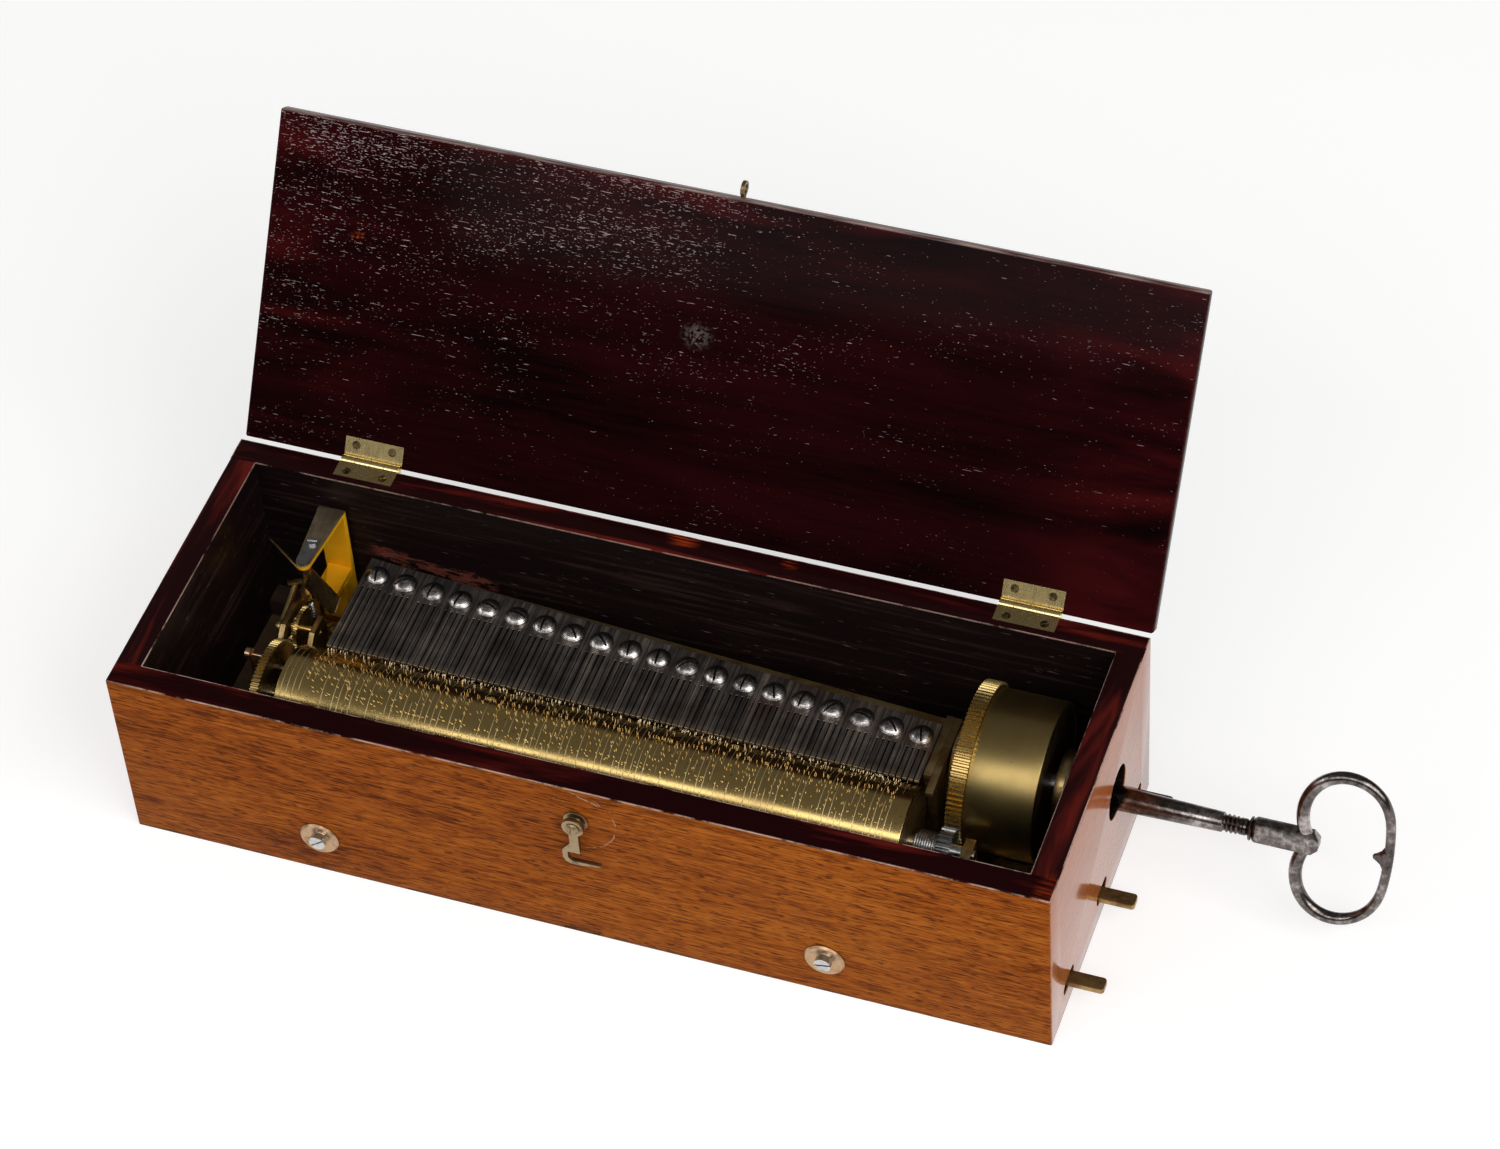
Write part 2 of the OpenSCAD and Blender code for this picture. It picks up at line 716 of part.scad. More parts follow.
module bedplate_screws() {
    screw_l = cup_t * 0.35 + board_t + bed_gap + 7;
    color("silver")
        for (i = [0, 1])
            translate([bed_screw_xs[i], -case_d / 2 - cup_t * 0.35, bed_screw_z]) rotate([90, 0, 0])
                slotted_screw(bed_screw_head_r, bed_screw_head_t, bed_screw_r, screw_l, [38, 12][i]);
}

// ---- Bedplate and comb ----

lug_d = 8.5;
well_half = sqrt(max(0, pow(barrel_tip_r + 1, 2) - pow(barrel_z - bed_top - bed_t, 2))) + 1;

module bedplate() {
    color("darkgoldenrod") difference() {
        union() {
            translate([bed_x0, -bed_half_d, bed_z]) cube([bed_x1 - bed_x0, 2 * bed_half_d, bed_t]);
            for (x = bed_screw_xs)
                translate([x - lug_w / 2, -bed_half_d, bed_z]) cube([lug_w, lug_d, bed_t + lug_h]);
        }
        for (x = bed_screw_xs)
            translate([x, -bed_half_d - cut, bed_screw_z]) rotate([-90, 0, 0])
                cylinder(h = 7 + cut, r = bed_screw_r);
        for (p = lever_pivots)
            translate([p[0], p[1], bed_z - cut]) cylinder(h = bed_t + 2 * cut, r = lever_pivot_r);
        // opening under the barrel
        translate([barrel_wheel_x - 0.7, barrel_y - well_half, bed_z - cut])
            cube([drum_end_x - barrel_wheel_x + 1.4, 2 * well_half, bed_t + 2 * cut]);
    }
}

// Screw line of the comb at x
function screw_y(x) = tip_y + screw_line_left
    + (screw_line_right - screw_line_left) * (x - comb_x0) / (comb_x1 - comb_x0);
function section_x(i) = comb_x0 + (i + 0.5) * section_p;

foot_l = 14;

comb_back_y = screw_y(base_leg_x) + comb_back + ledge_right;
comb_lip_z = comb_z - 0.4;

module comb_base() {
    cheek_y = cyl_y + sqrt(pow(cyl_r + pin_h + 1, 2) - pow(comb_base_z - 1.5 - cyl_z, 2));
    color("goldenrod") difference() {
        union() {
            // bar under the screws
            translate([0, 0, comb_base_z - base_bar_t]) linear_extrude(base_bar_t) polygon([
                [comb_x0 - 0.8, screw_y(comb_x0) - root_off + 0.6],
                [base_leg_x, screw_y(base_leg_x) - root_off + 0.6],
                [base_leg_x, comb_back_y],
                [comb_x0 - 0.8, screw_y(comb_x0) + comb_back + ledge_left]]);
            // cheek beside the last treble tooth
            translate([comb_x1 + 0.15, cheek_y, comb_base_z - 1.5])
                cube([base_leg_x - comb_x1 - 0.15, comb_back_y - cheek_y, comb_lip_z - comb_base_z + 1.5]);
        }
        for (i = [0 : sections - 1])
            translate([section_x(i), screw_y(section_x(i)), comb_base_z - comb_thread_l])
                cylinder(h = comb_thread_l + cut, r = comb_screw_r);
    }
}

// Feet under the comb's base, and the end plate whose leg stands beside the cylinder
module comb_supports() {
    leg_y0 = tip_y + 0.9;
    leg_y1 = leg_y0 + 9;
    lip = 4.6;
    color("goldenrod") {
        for (x = foot_xs)
            translate([x - foot_l / 2, screw_y(x) - 4, bed_top])
                cube([foot_l, comb_back + 3, comb_base_z - base_bar_t - bed_top]);
        along_x(base_leg_x, 0, 0) linear_extrude(base_leg_t) difference() {
            polygon([[leg_y0, bed_top], [leg_y1, bed_top], [leg_y1, comb_base_z - base_bar_t],
                [comb_back_y, comb_base_z - base_bar_t], [comb_back_y, comb_lip_z],
                [leg_y0 - lip, comb_lip_z], [leg_y0 - lip, comb_lip_z - 1.8],
                [leg_y0, comb_lip_z - 1.8 - lip]]);
            translate([leg_y0 - lip, comb_lip_z - 1.8 - lip]) circle(r = lip);
        }
    }
}

comb_thread_l = 5;
foot_xs = [comb_x0 + 12, (comb_x0 + comb_x1) / 2, comb_x1 - 14];

// One section of the comb
module comb_section(i) {
    x0 = comb_x0 + i * section_p;
    x1 = x0 + section_p - section_gap;
    xc = section_x(i);
    root_y = screw_y(xc) - root_off;
    difference() {
        translate([0, 0, comb_base_z]) linear_extrude(comb_t) difference() {
            polygon([[x0, tip_y], [x1, tip_y], [x1, screw_y(x1) + comb_back], [x0, screw_y(x0) + comb_back]]);
            for (k = [1 : teeth - 1]) {
                translate([x0 + k * tooth_p - tooth_gap / 2, tip_y - cut])
                    square([tooth_gap, root_y - tip_y + cut]);
                translate([x0 + k * tooth_p, root_y]) circle(r = 0.42);
            }
            for (e = [x0, x1])
                translate([e - tooth_gap / 4, tip_y - cut]) square([tooth_gap / 2, root_y - tip_y + cut]);
        }
        translate([x0 - cut, tip_y - cut, comb_base_z - cut])
            cube([section_p + 2 * cut, root_y - tip_y + cut, comb_t - tooth_t + cut]);
        translate([xc, screw_y(xc), comb_base_z - cut]) cylinder(h = comb_t + 2 * cut, r = comb_screw_r);
    }
}

module comb_sections() {
    color("dimgray")
        for (i = [0 : sections - 1])
            comb_section(i);
}

module comb_screws() {
    color("silver")
        for (i = [0 : sections - 1])
            translate([section_x(i), screw_y(section_x(i)), comb_z])
                slotted_screw(comb_head_r, comb_head_h, comb_screw_r, comb_t + comb_thread_l,
                    comb_slot_turns[i % len(comb_slot_turns)], dome = true);
}

// Lead weights under the bass teeth
module comb_leads() {
    lead_sections = 7;
    lead_l = 6;
    lead_h = 2.4;
    lead_off = 5.5;
    color("slategray")
        for (i = [0 : lead_sections - 1], k = [0 : teeth - 1])
            translate([comb_x0 + i * section_p + (k + 0.5) * tooth_p - (tooth_p - tooth_gap) / 2 + 0.1,
                    tip_y + lead_off, comb_z - tooth_t - lead_h])
                cube([tooth_p - tooth_gap - 0.2, lead_l - 0.5 * i, lead_h]);
}

// ---- Cylinder ----

bearing_w = 8;
bearing_cap = 3.4;

module bearing_block(x) {
    difference() {
        union() {
            translate([x, cyl_y - bearing_w / 2, bed_top])
                cube([bearing_t, bearing_w, cyl_z - bed_top + bearing_cap]);
            translate([x, cyl_y - bearing_w / 2 - 5, bed_top])
                cube([bearing_t, bearing_w + 10, bearing_foot_t]);
        }
        shaft_x(x - cut, x + bearing_t + cut, cyl_y, cyl_z, arbor_end_r + run_fit);
        for (side = [-1, 1])
            translate([x + bearing_t / 2, cyl_y + side * (bearing_w / 2 + 2.5), bed_top - cut])
                cylinder(h = bearing_foot_t + 2 * cut, r = small_screw_r);
    }
}

bearing_foot_t = 3;
arbor_end_r = 2;
small_screw_r = 0.8;
small_head_r = 1.7;

module cylinder_left_bearing() {
    color("goldenrod") bearing_block(left_bearing_x);
}

module cylinder_right_bearing() {
    color("goldenrod") bearing_block(right_bearing_x);
}

// Small screws of the cylinder's bearings, the governor's frame and its endstone cap
module plate_screws() {
    color("khaki") {
        for (x = [left_bearing_x, right_bearing_x], side = [-1, 1])
            translate([x + bearing_t / 2, cyl_y + side * (bearing_w / 2 + 2.5), bed_top + bearing_foot_t])
                slotted_screw(small_head_r, 1.5, small_screw_r, bearing_foot_t, 40 * side);
        translate([worm_x, worm_y + cap_screw_off, cock_top + cap_plate_t])
            slotted_screw(small_head_r, 1, small_screw_r, cap_plate_t + cock_t, 10);
        translate([frame_screw[0], frame_screw[1], bed_top + frame_foot_t])
            slotted_screw(small_head_r, 1.4, small_screw_r, frame_foot_t, 60);
    }
}

// Spring-blade detent with a steel pin and a brass knob, on the left bearing
module detent_pin() {
    blade_t = 0.7;
    blade_w = 3;
    det_y = cyl_y + 3.2;
    det_z = cyl_z + 14;
    blade_x = left_bearing_x - blade_t;
    color("peru") {
        translate([blade_x, det_y - blade_w / 2, cyl_z - 8]) cube([blade_t, blade_w, det_z - cyl_z + 9]);
        shaft_x(blade_x - 1.6, blade_x + eps, det_y, det_z, 2.1);
        shaft_x(blade_x, great_x - side_fit, det_y, det_z, 0.6);
    }
}

module cylinder_tube() {
    color("darkgoldenrod") difference() {
        shaft_x(cyl_x0, cyl_x1, cyl_y, cyl_z, cyl_r);
        shaft_x(cyl_x0 - cut, cyl_x1 + cut, cyl_y, cyl_z, cyl_r - cyl_wall);
    }
}

cap_t = 2.5;

module cylinder_end_caps() {
    color("goldenrod") difference() {
        for (x = [cyl_x0 + 0.5, cyl_x1 - 0.5 - cap_t])
            shaft_x(x, x + cap_t, cyl_y, cyl_z, cyl_r - cyl_wall);
        shaft_x(cyl_x0 - cut, cyl_x1 + cut, cyl_y, cyl_z, arbor_r + run_fit);
        shaft_x(cyl_x0 - cut, cyl_x0 + cap_t + 1, cyl_y + dowel_off, cyl_z, dowel_r + run_fit);
    }
}

module cylinder_arbor() {
    color("silver") {
        shaft_x(great_x - 1, right_bearing_x - 0.4, cyl_y, cyl_z, arbor_r);
        shaft_x(left_bearing_x + 0.2, right_bearing_x + bearing_t + 0.6, cyl_y, cyl_z, arbor_end_r);
    }
}

module cylinder_great_wheel() {
    color("tan") along_x(great_x, cyl_y, cyl_z) difference() {
        rotate([0, 0, second_angle]) gear(great_teeth, great_mod, great_t, arbor_r);
        translate([dowel_off, 0, -cut]) cylinder(h = great_t + 2 * cut, r = dowel_r);
    }
}

module cylinder_pinion() {
    color("slategray") along_x(pinion_x, cyl_y, cyl_z) rotate([0, 0, main_angle])
        gear(pinion_teeth, main_mod, pinion_t, arbor_r);
}

module cylinder_dowel() {
    color("silver")
        shaft_x(great_x, cyl_x0 + 0.5 + cap_t, cyl_y + dowel_off, cyl_z, dowel_r);
}

// Return spring between the cylinder and the pinion, its close turns drawn as rings on one wall
module cylinder_spring() {
    mean_r = arbor_r + coil_wire_r + 1.2;
    x0 = cyl_x1 + tune_shift + side_fit;
    turns = 8;
    run = pinion_x - x0 - 2 * coil_wire_r;
    color("silver") along_x(x0, cyl_y, cyl_z) rotate_extrude($fn = 24) {
        for (n = [0 : turns])
            translate([mean_r, coil_wire_r + run * n / turns]) circle(coil_wire_r, $fn = 8);
        translate([mean_r - coil_wire_r / 2, coil_wire_r]) square([coil_wire_r, run]);
    }
}

// ---- Spring barrel ----

drum_x = barrel_wheel_x + barrel_wheel_t;
barrel_cap_t = 1.6;
hub_fit_r = barrel_arbor_r + run_fit;

module barrel_drum() {
    color("goldenrod") difference() {
        shaft_x(drum_x, drum_end_x, barrel_y, barrel_z, drum_r);
        shaft_x(drum_x - cut, drum_end_x + cut, barrel_y, barrel_z, drum_r - drum_wall);
    }
}

module barrel_great_wheel() {
    color("gold") along_x(barrel_wheel_x, barrel_y, barrel_z)
        rotate([0, 0, main_angle + 180 + 180 / barrel_teeth])
            gear(barrel_teeth, main_mod, barrel_wheel_t, hub_fit_r);
}

module barrel_cap() {
    color("goldenrod") difference() {
        shaft_x(drum_end_x - barrel_cap_t - 0.6, drum_end_x - 0.6, barrel_y, barrel_z, drum_r - drum_wall);
        shaft_x(drum_end_x - 3 * barrel_cap_t, drum_end_x + cut, barrel_y, barrel_z, hub_fit_r);
    }
}

// The mainspring as a flat spiral band, its outer end against the drum's wall
module mainspring() {
    r_in = barrel_arbor_r + 5;
    r_out = drum_r - drum_wall;
    turns = 7;
    steps = 18 * turns;
    band = drum_l - barrel_cap_t - 3;
    function spiral(s, off) = polar(r_in + (r_out - mainspring_t - r_in) * s / steps + off,
        360 * turns * s / steps);
    color("steelblue") along_x(drum_x + 1, barrel_y, barrel_z) linear_extrude(band)
        polygon(concat([for (s = [0 : steps]) spiral(s, 0)],
            [for (s = [steps : -1 : 0]) spiral(s, mainspring_t)]));
}

module barrel_arbor() {
    color("silver") {
        shaft_x(left_bridge_x + 0.2, square_x0, barrel_y, barrel_z, barrel_arbor_r);
        difference() {
            shaft_x(drum_x + 0.6, drum_end_x - barrel_cap_t - 1.2, barrel_y, barrel_z,
                barrel_arbor_r + 4);
            shaft_x(drum_x, drum_end_x, barrel_y, barrel_z, barrel_arbor_r - 1);
        }
        translate([square_x0 - eps, barrel_y - square_w / 2, barrel_z - square_w / 2])
            cube([square_x1 - square_x0, square_w, square_w]);
    }
}

ratchet_teeth = 16;
ratchet_depth = 1.4;

module ratchet_wheel() {
    color("slategray") along_x(ratchet_x, barrel_y, barrel_z) difference() {
        linear_extrude(ratchet_t) polygon([for (i = [0 : ratchet_teeth - 1], p = [
                [0, ratchet_r - ratchet_depth], [0.06, ratchet_r], [0.18, ratchet_r]])
            polar(p[1], (i + p[0]) * 360 / ratchet_teeth)]);
        translate([0, 0, -cut]) cylinder(h = ratchet_t + 2 * cut, r = barrel_arbor_r);
    }
}

// Click: a pawl on the right bridge, held just clear of the teeth as in winding
click_y = barrel_y - 9.8;
click_z = barrel_z - ratchet_r - 2.6;
click_pin_r = 1.2;
click_gap = 0.9;
click_tip_z = barrel_z - ratchet_r - click_gap;
click_screw_z = click_z - 6.2;
click_screw_y = barrel_y + 1;

module ratchet_click() {
    color("silver") difference() {
        union() {
            along_x(ratchet_x, click_y, click_z) cylinder(h = ratchet_t, r = 2.5);
            along_x(ratchet_x, 0, 0) linear_extrude(ratchet_t) polygon([
                [click_y, click_z + 2.4], [barrel_y - 2.5, click_tip_z], [barrel_y - 0.6, click_tip_z],
                [barrel_y - 1.4, click_tip_z - 2.6], [click_y, click_z - 2.4]]);
        }
        shaft_x(ratchet_x - cut, ratchet_x + ratchet_t + cut, click_y, click_z, click_pin_r + run_fit);
    }
}

// Leaf spring under the click, on a block of its own
module click_spring() {
    x0 = right_bridge_x + bridge_t;
    tip_z = click_z - 2.4 - side_fit;
    color("slategray") difference() {
        union() {
            along_x(x0, 0, 0) linear_extrude(ratchet_t + 0.4)
                translate([click_screw_y - 2.2, click_screw_z - 2.2]) square([4.4, 4.4]);
            along_x(ratchet_x, 0, 0) linear_extrude(ratchet_t) polygon([
                [click_screw_y - 2.1, click_screw_z - 1.9], [click_screw_y - 2.1, click_screw_z - 0.9],
                [click_y + 2, tip_z], [click_y + 1, tip_z - 0.2], [click_y + 1.2, tip_z - 0.9]]);
        }
        shaft_x(x0 - cut, x0 + ratchet_t + 2, click_screw_y, click_screw_z, small_screw_r);
    }
}

module click_screws() {
    color("khaki") {
        along_x(ratchet_x + ratchet_t + 0.1, click_y, click_z)
            slotted_screw(2.2, 1.1, click_pin_r, ratchet_t + 2.5, 15);
        along_x(right_bridge_x + bridge_t + ratchet_t + 0.4, click_screw_y, click_screw_z)
            slotted_screw(small_head_r, 1, small_screw_r, ratchet_t + 1.9, 70);
    }
}

// A bridge of the barrel: an upright plate with a round head
module bridge_plate(x, head_r, bore) {
    foot_w = bridge_foot_w;
    difference() {
        union() {
            shaft_x(x, x + bridge_t, barrel_y, barrel_z, head_r);
            along_x(x, barrel_y, 0) linear_extrude(bridge_t)
                polygon([[-foot_w / 2, bed_top], [foot_w / 2, bed_top], [head_r, barrel_z],
                    [-head_r, barrel_z]]);
        }
        shaft_x(x - cut, x + bridge_t + cut, barrel_y, barrel_z, bore);
    }
}

bridge_foot_w = 30;
bridge_bolt_r = 1.3;
bridge_flange = 5;
flange_t = 2.4;
flange_bolt_off = 11;
tie_x = right_bearing_x + bearing_t + 2.5;
tie_h = 4;
tie_d = 6;
tie_y = barrel_y - sqrt(pow(drum_r + 0.8, 2) - pow(barrel_z - bed_top - tie_h, 2)) - tie_d;
tie_screw_xs = [tie_x + 3, right_bridge_x - 4];

// Foot flange of a bridge, with its two screw holes
module bridge_flange_plate(x) {
    difference() {
        translate([x, barrel_y - bridge_foot_w / 2, bed_top])
            cube([bridge_flange, bridge_foot_w, flange_t]);
        for (side = [-1, 1])
            translate([x + bridge_flange / 2, barrel_y + side * flange_bolt_off, bed_top - cut])
                cylinder(h = flange_t + 2 * cut, r = bridge_bolt_r + run_fit);
    }
}

module barrel_left_bridge() {
    color("goldenrod") bridge_plate(left_bridge_x, left_head_r, barrel_arbor_r + run_fit);
}

module barrel_right_bridge() {
    color("goldenrod") difference() {
        union() {
            bridge_plate(right_bridge_x, right_head_r, barrel_arbor_r + run_fit);
            bridge_flange_plate(right_bridge_x + bridge_t - eps);
            // tie bar along the front of the barrel
            translate([tie_x, tie_y, bed_top]) cube([right_bridge_x + eps - tie_x, tie_d, tie_h]);
            translate([right_bridge_x, tie_y, bed_top]) cube([bridge_t, barrel_y - tie_y, tie_h]);
        }
        for (x = tie_screw_xs)
            translate([x, tie_y + tie_d / 2, bed_top - cut])
                cylinder(h = tie_h + 2 * cut, r = bridge_bolt_r + run_fit);
        shaft_x(right_bridge_x + bridge_t - 1.8, right_bridge_x + bridge_t + cut, click_y, click_z,
            click_pin_r);
        shaft_x(right_bridge_x + bridge_t - 1.5, right_bridge_x + bridge_t + cut, click_screw_y,
            click_screw_z, small_screw_r);
    }
}

module bridge_screws() {
    color("khaki") {
        for (side = [-1, 1])
            translate([right_bridge_x + bridge_t + bridge_flange / 2, barrel_y + side * flange_bolt_off,
                    bed_top + flange_t])
                slotted_screw(2.2, 1.6, bridge_bolt_r, flange_t, 50 * side);
        for (x = tie_screw_xs)
            translate([x, tie_y + tie_d / 2, bed_top + tie_h])
                slotted_screw(2.2, 1.4, bridge_bolt_r, tie_h, x);
    }
}

// ---- Governor ----

cock_x0 = worm_x - cock_w / 2;
cap_screw_off = 8;
cap_plate_t = 0.8;
frame_foot_t = 2.4;
frame_reach = 12;
frame_screw = [frame_left_x + 7, worm_y + 8.5];

module governor_cock() {
    arm_z = cock_top - cock_t;
    color("goldenrod") difference() {
        union() {
            // upper arm, narrowing to its tip
            translate([0, 0, arm_z]) linear_extrude(cock_t) {
                polygon([[cock_x0, cock_back_y], [cock_x0 + cock_w, cock_back_y],
                    [worm_x + cock_tip_w / 2, worm_y], [worm_x - cock_tip_w / 2, worm_y]]);
                translate([worm_x, worm_y]) circle(r = cock_tip_w / 2);
            }
            // back plate
            translate([cock_x0, cock_back_y - cock_t, cock_low - cock_t])
                cube([cock_w, cock_t, cock_top - cock_low + cock_t]);
            // lower arm
            translate([0, 0, cock_low - cock_t]) linear_extrude(cock_t)
                polygon([[cock_x0, cock_back_y], [cock_x0 + cock_w, cock_back_y],
                    [cock_x0 + cock_w - 0.5, cock_back_y - 17], [cock_x0 + 5, cock_back_y - 17]]);
            // pillar down to the bedplate
            translate([cock_x0, cock_back_y - 9, bed_top])
                cube([cock_w, 9, cock_low - cock_t - bed_top + eps]);
        }
        translate([worm_x, worm_y, arm_z - cut]) cylinder(h = cock_t + 2 * cut, r = pivot_r + run_fit);
        translate([worm_x, worm_y + cap_screw_off, arm_z - cut])
            cylinder(h = cock_t + 2 * cut, r = small_screw_r);
    }
}

module endstone_cap() {
    color("slategray") difference() {
        translate([0, 0, cock_top]) linear_extrude(cap_plate_t) {
            translate([worm_x - 2.3, worm_y]) square([4.6, 9.5]);
            translate([worm_x, worm_y]) circle(r = 2.3);
        }
        translate([worm_x, worm_y + cap_screw_off, cock_top - cut])
            cylinder(h = cap_plate_t + 2 * cut, r = small_screw_r);
    }
}

// Two side plates on a foot: they carry the second wheel's and the worm wheel's arbors
module governor_frame() {
    plate_top = third_z + 4.6;
    right_y0 = second_y - 3.6;
    color("peru") difference() {
        union() {
            along_x(frame_left_x, 0, 0) linear_extrude(frame_plate_t) polygon([
                [second_y - 5, bed_top], [worm_y + frame_reach, bed_top],
                [worm_y + frame_reach, third_z - 1],
                [third_y + 5, plate_top], [third_y - 4, plate_top], [second_y - 5, second_z + 4]]);
            along_x(frame_right_x, 0, 0) linear_extrude(frame_plate_t) polygon([
                [right_y0, bed_top], [third_y + 4, bed_top], [third_y + 4, plate_top - 1],
                [third_y - 4, plate_top - 1], [right_y0, second_z + 4]]);
            translate([frame_left_x, second_y - 5 + 14, bed_top])
                cube([frame_right_x + frame_plate_t - frame_left_x,
                    worm_y + frame_reach - second_y - 9, frame_foot_t]);
            // footstep bearing of the fly's shaft
            translate([worm_x - 2.5, worm_y - 2, bed_top]) cube([5, 5.5, worm_foot_z - bed_top]);
        }
        for (p = [[second_y, second_z], [third_y, third_z]])
            shaft_x(frame_left_x - cut, frame_right_x + frame_plate_t + cut, p[0], p[1],
                pivot_r + run_fit);
        translate([worm_x, worm_y, worm_foot_z - 1.5]) cylinder(h = 1.5 + cut, r = pivot_r + run_fit);
        translate([frame_screw[0], frame_screw[1], bed_top - cut])
            cylinder(h = frame_foot_t + 2 * cut, r = small_screw_r);
    }
    color("peru") shaft_x(frame_left_x - 0.3 - 1.2 - stop_pin_l, frame_left_x + eps, stop_y, stop_z,
        stop_pin_r);
}

worm_foot_z = third_z - worm_wheel_r - 0.8;
first_screw_gap = norm([section_x(0) - worm_x, screw_y(section_x(0)) - worm_y]) - comb_head_r - 0.4;
wing_r = min(wing_l, first_screw_gap);
stop_pin_l = 0.9;

module arbor_with_pivots(y, z) {
    shaft_x(frame_left_x + frame_plate_t + 0.2, frame_right_x - 0.2, y, z, 1.2);
    shaft_x(frame_left_x + 0.3, frame_right_x + frame_plate_t - 0.3, y, z, pivot_r);
}

module governor_second_wheel() {
    color("gold") {
        arbor_with_pivots(second_y, second_z);
        along_x(great_x, second_y, second_z) rotate([0, 0, second_angle + 180 + 180 / second_pinion_teeth])
            gear(second_pinion_teeth, great_mod, great_t, 1);
        along_x(second_wheel_x, second_y, second_z) rotate([0, 0, third_angle])
            gear(second_teeth, second_mod, second_wheel_t, 1);
    }
}

module governor_worm_wheel() {
    color("gold") {
        arbor_with_pivots(third_y, third_z);
        along_x(second_wheel_x - 0.2, third_y, third_z)
            rotate([0, 0, third_angle + 180 + 180 / third_pinion_teeth])
                gear(third_pinion_teeth, second_mod, second_wheel_t + 0.4, 1);
        along_x(worm_wheel_x, third_y, third_z) gear(worm_teeth, worm_mod, worm_wheel_t, 1, 0.06);
    }
}

// The worm: a thread of one turn to a pitch around a core
module governor_worm() {
    turns = 6;
    steps = 16 * turns;
    z0 = third_z - worm_pitch * (turns / 2 + 0.25);
    half = 0.16 * worm_mod / 0.4;
    section = [[worm_core_r - 0.2, -half * 1.6], [worm_r, -half], [worm_r, half],
        [worm_core_r - 0.2, half * 1.6]];
    rings = [for (s = [0 : steps], q = section)
        let (a = 360 * turns * s / steps)
            [q[0] * cos(a), q[0] * sin(a), worm_pitch * turns * s / steps + q[1]]];
    quads = [for (s = [0 : steps - 1], k = [0 : 3])
        let (n = (k + 1) % 4)
            [s * 4 + k, s * 4 + n, (s + 1) * 4 + n, (s + 1) * 4 + k]];
    color("silver") {
        translate([worm_x, worm_y, worm_foot_z + 0.3])
            cylinder(h = fly_top - worm_foot_z - 0.3 + 0.4, r = worm_core_r);
        translate([worm_x, worm_y, worm_foot_z - 1.3])
            cylinder(h = cock_top - 0.3 - worm_foot_z + 1.3, r = pivot_r);
        translate([worm_x, worm_y, z0])
            polyhedron(rings, concat(quads, [[3, 2, 1, 0], [for (k = [0 : 3]) steps * 4 + k]]));
    }
}

// The fly: a collar with two pitched wings
module governor_fly() {
    boss_z = third_z + worm_wheel_r + 0.9;
    color("goldenrod") translate([worm_x, worm_y, 0]) difference() {
        union() {
            translate([0, 0, boss_z]) cylinder(h = 2.6, r = 2.9);
            translate([0, 0, boss_z]) cylinder(h = fly_top - boss_z, r = 1.6);
            for (side = [0, 180])
                rotate([0, 0, wing_turn + side]) translate([0, 0, fly_z])
                    rotate([-wing_pitch, 0, 0]) translate([1, -wing_t / 2, -wing_w / 2]) difference() {
                        cube([wing_r - 1, wing_t, wing_w]);
                        translate([wing_r - 1 - 2.5, -cut, -cut]) rotate([0, 40, 0])
                            cube([6, wing_t + 2 * cut, 5]);
                    }
        }
        translate([0, 0, boss_z - cut]) cylinder(h = fly_top - boss_z + 2 * cut, r = worm_core_r);
    }
}

// Arm that rises against the fly to stop it
stop_y = third_y - 3.2;
stop_z = third_z + 2.4;
stop_pin_r = 1;

module stop_arm() {
    arm_t = 1.2;
    x0 = frame_left_x - 0.3 - arm_t;
    color("goldenrod") {
        along_x(x0, stop_y, stop_z) linear_extrude(arm_t) difference() {
            union() {
                circle(r = 2.1);
                polygon([[-1.6, 0.9], [1.2, -1.2], [9, 1.2], [15.2, 3.6], [16.6, 6], [15, 6], [8.4, 3.2]]);
            }
            circle(r = stop_pin_r);
        }
        translate([x0 - 2, stop_y + 14.4, stop_z + 6 - eps]) linear_extrude(0.6)
            polygon([[0, 0], [1, -1.6], [8, 2.2], [7, 3.8]]);
    }
}

// ---- Control levers ----

slot_ys = [slot_front - inner_y, slot_middle, inner_y - slot_back];
lever_ys = [for (i = [0 : 2]) slot_ys[i] + lever_swing_rest[i]];
lever_pivots = [for (y = lever_ys) [lever_pivot_x, y]];
lever_tail = 12;

module control_lever(y) {
    lever_tip_r = 1.2;
    x1 = case_l / 2 + lever_out;
    color("goldenrod") translate([0, 0, lever_z]) difference() {
        union() {
            translate([lever_pivot_x - lever_tail, y - lever_w / 2, 0])
                cube([x1 - lever_tip_r - lever_pivot_x + lever_tail, lever_w, lever_t]);
            translate([x1 - lever_tip_r - eps, y - lever_w / 2 + lever_tip_r, 0])
                cube([lever_tip_r, lever_w - 2 * lever_tip_r, lever_t]);
            for (side = [-1, 1])
                translate([x1 - lever_tip_r, y + side * (lever_w / 2 - lever_tip_r), 0])
                    cylinder(h = lever_t, r = lever_tip_r);
            translate([lever_pivot_x, y, 0]) cylinder(h = lever_t, r = lever_w / 2 + 1);
        }
        translate([lever_pivot_x, y, -cut]) cylinder(h = lever_t + 2 * cut, r = lever_pivot_r + run_fit);
    }
}

module control_lever_front() {
    control_lever(lever_ys[0]);
}

module control_lever_middle() {
    control_lever(lever_ys[1]);
}

module control_lever_back() {
    control_lever(lever_ys[2]);
}

module lever_pivot_screws() {
    color("silver")
        for (p = lever_pivots)
            translate([p[0], p[1], lever_z - 0.1]) rotate([180, 0, 0])
                slotted_screw(2.6, 1.4, lever_pivot_r, lever_t + 0.1 + 0.5 + bed_t, 25);
}

// ---- Key ----

bow_wire = 4.1;
bow_far_wire = 3;
bow_mid_x = key_x0 + key_l - bow_l / 2;
block_l = 13.6;
block_h = 7.6;
collar_x = bow_mid_x - bow_l / 2 - block_l;

// Points of an oval lobe whose centre stands off the key's axis
function lobe(cx, off, rx, ry) = [for (a = [0 : 10 : 350]) [cx + rx * cos(a), off + ry * sin(a)]];

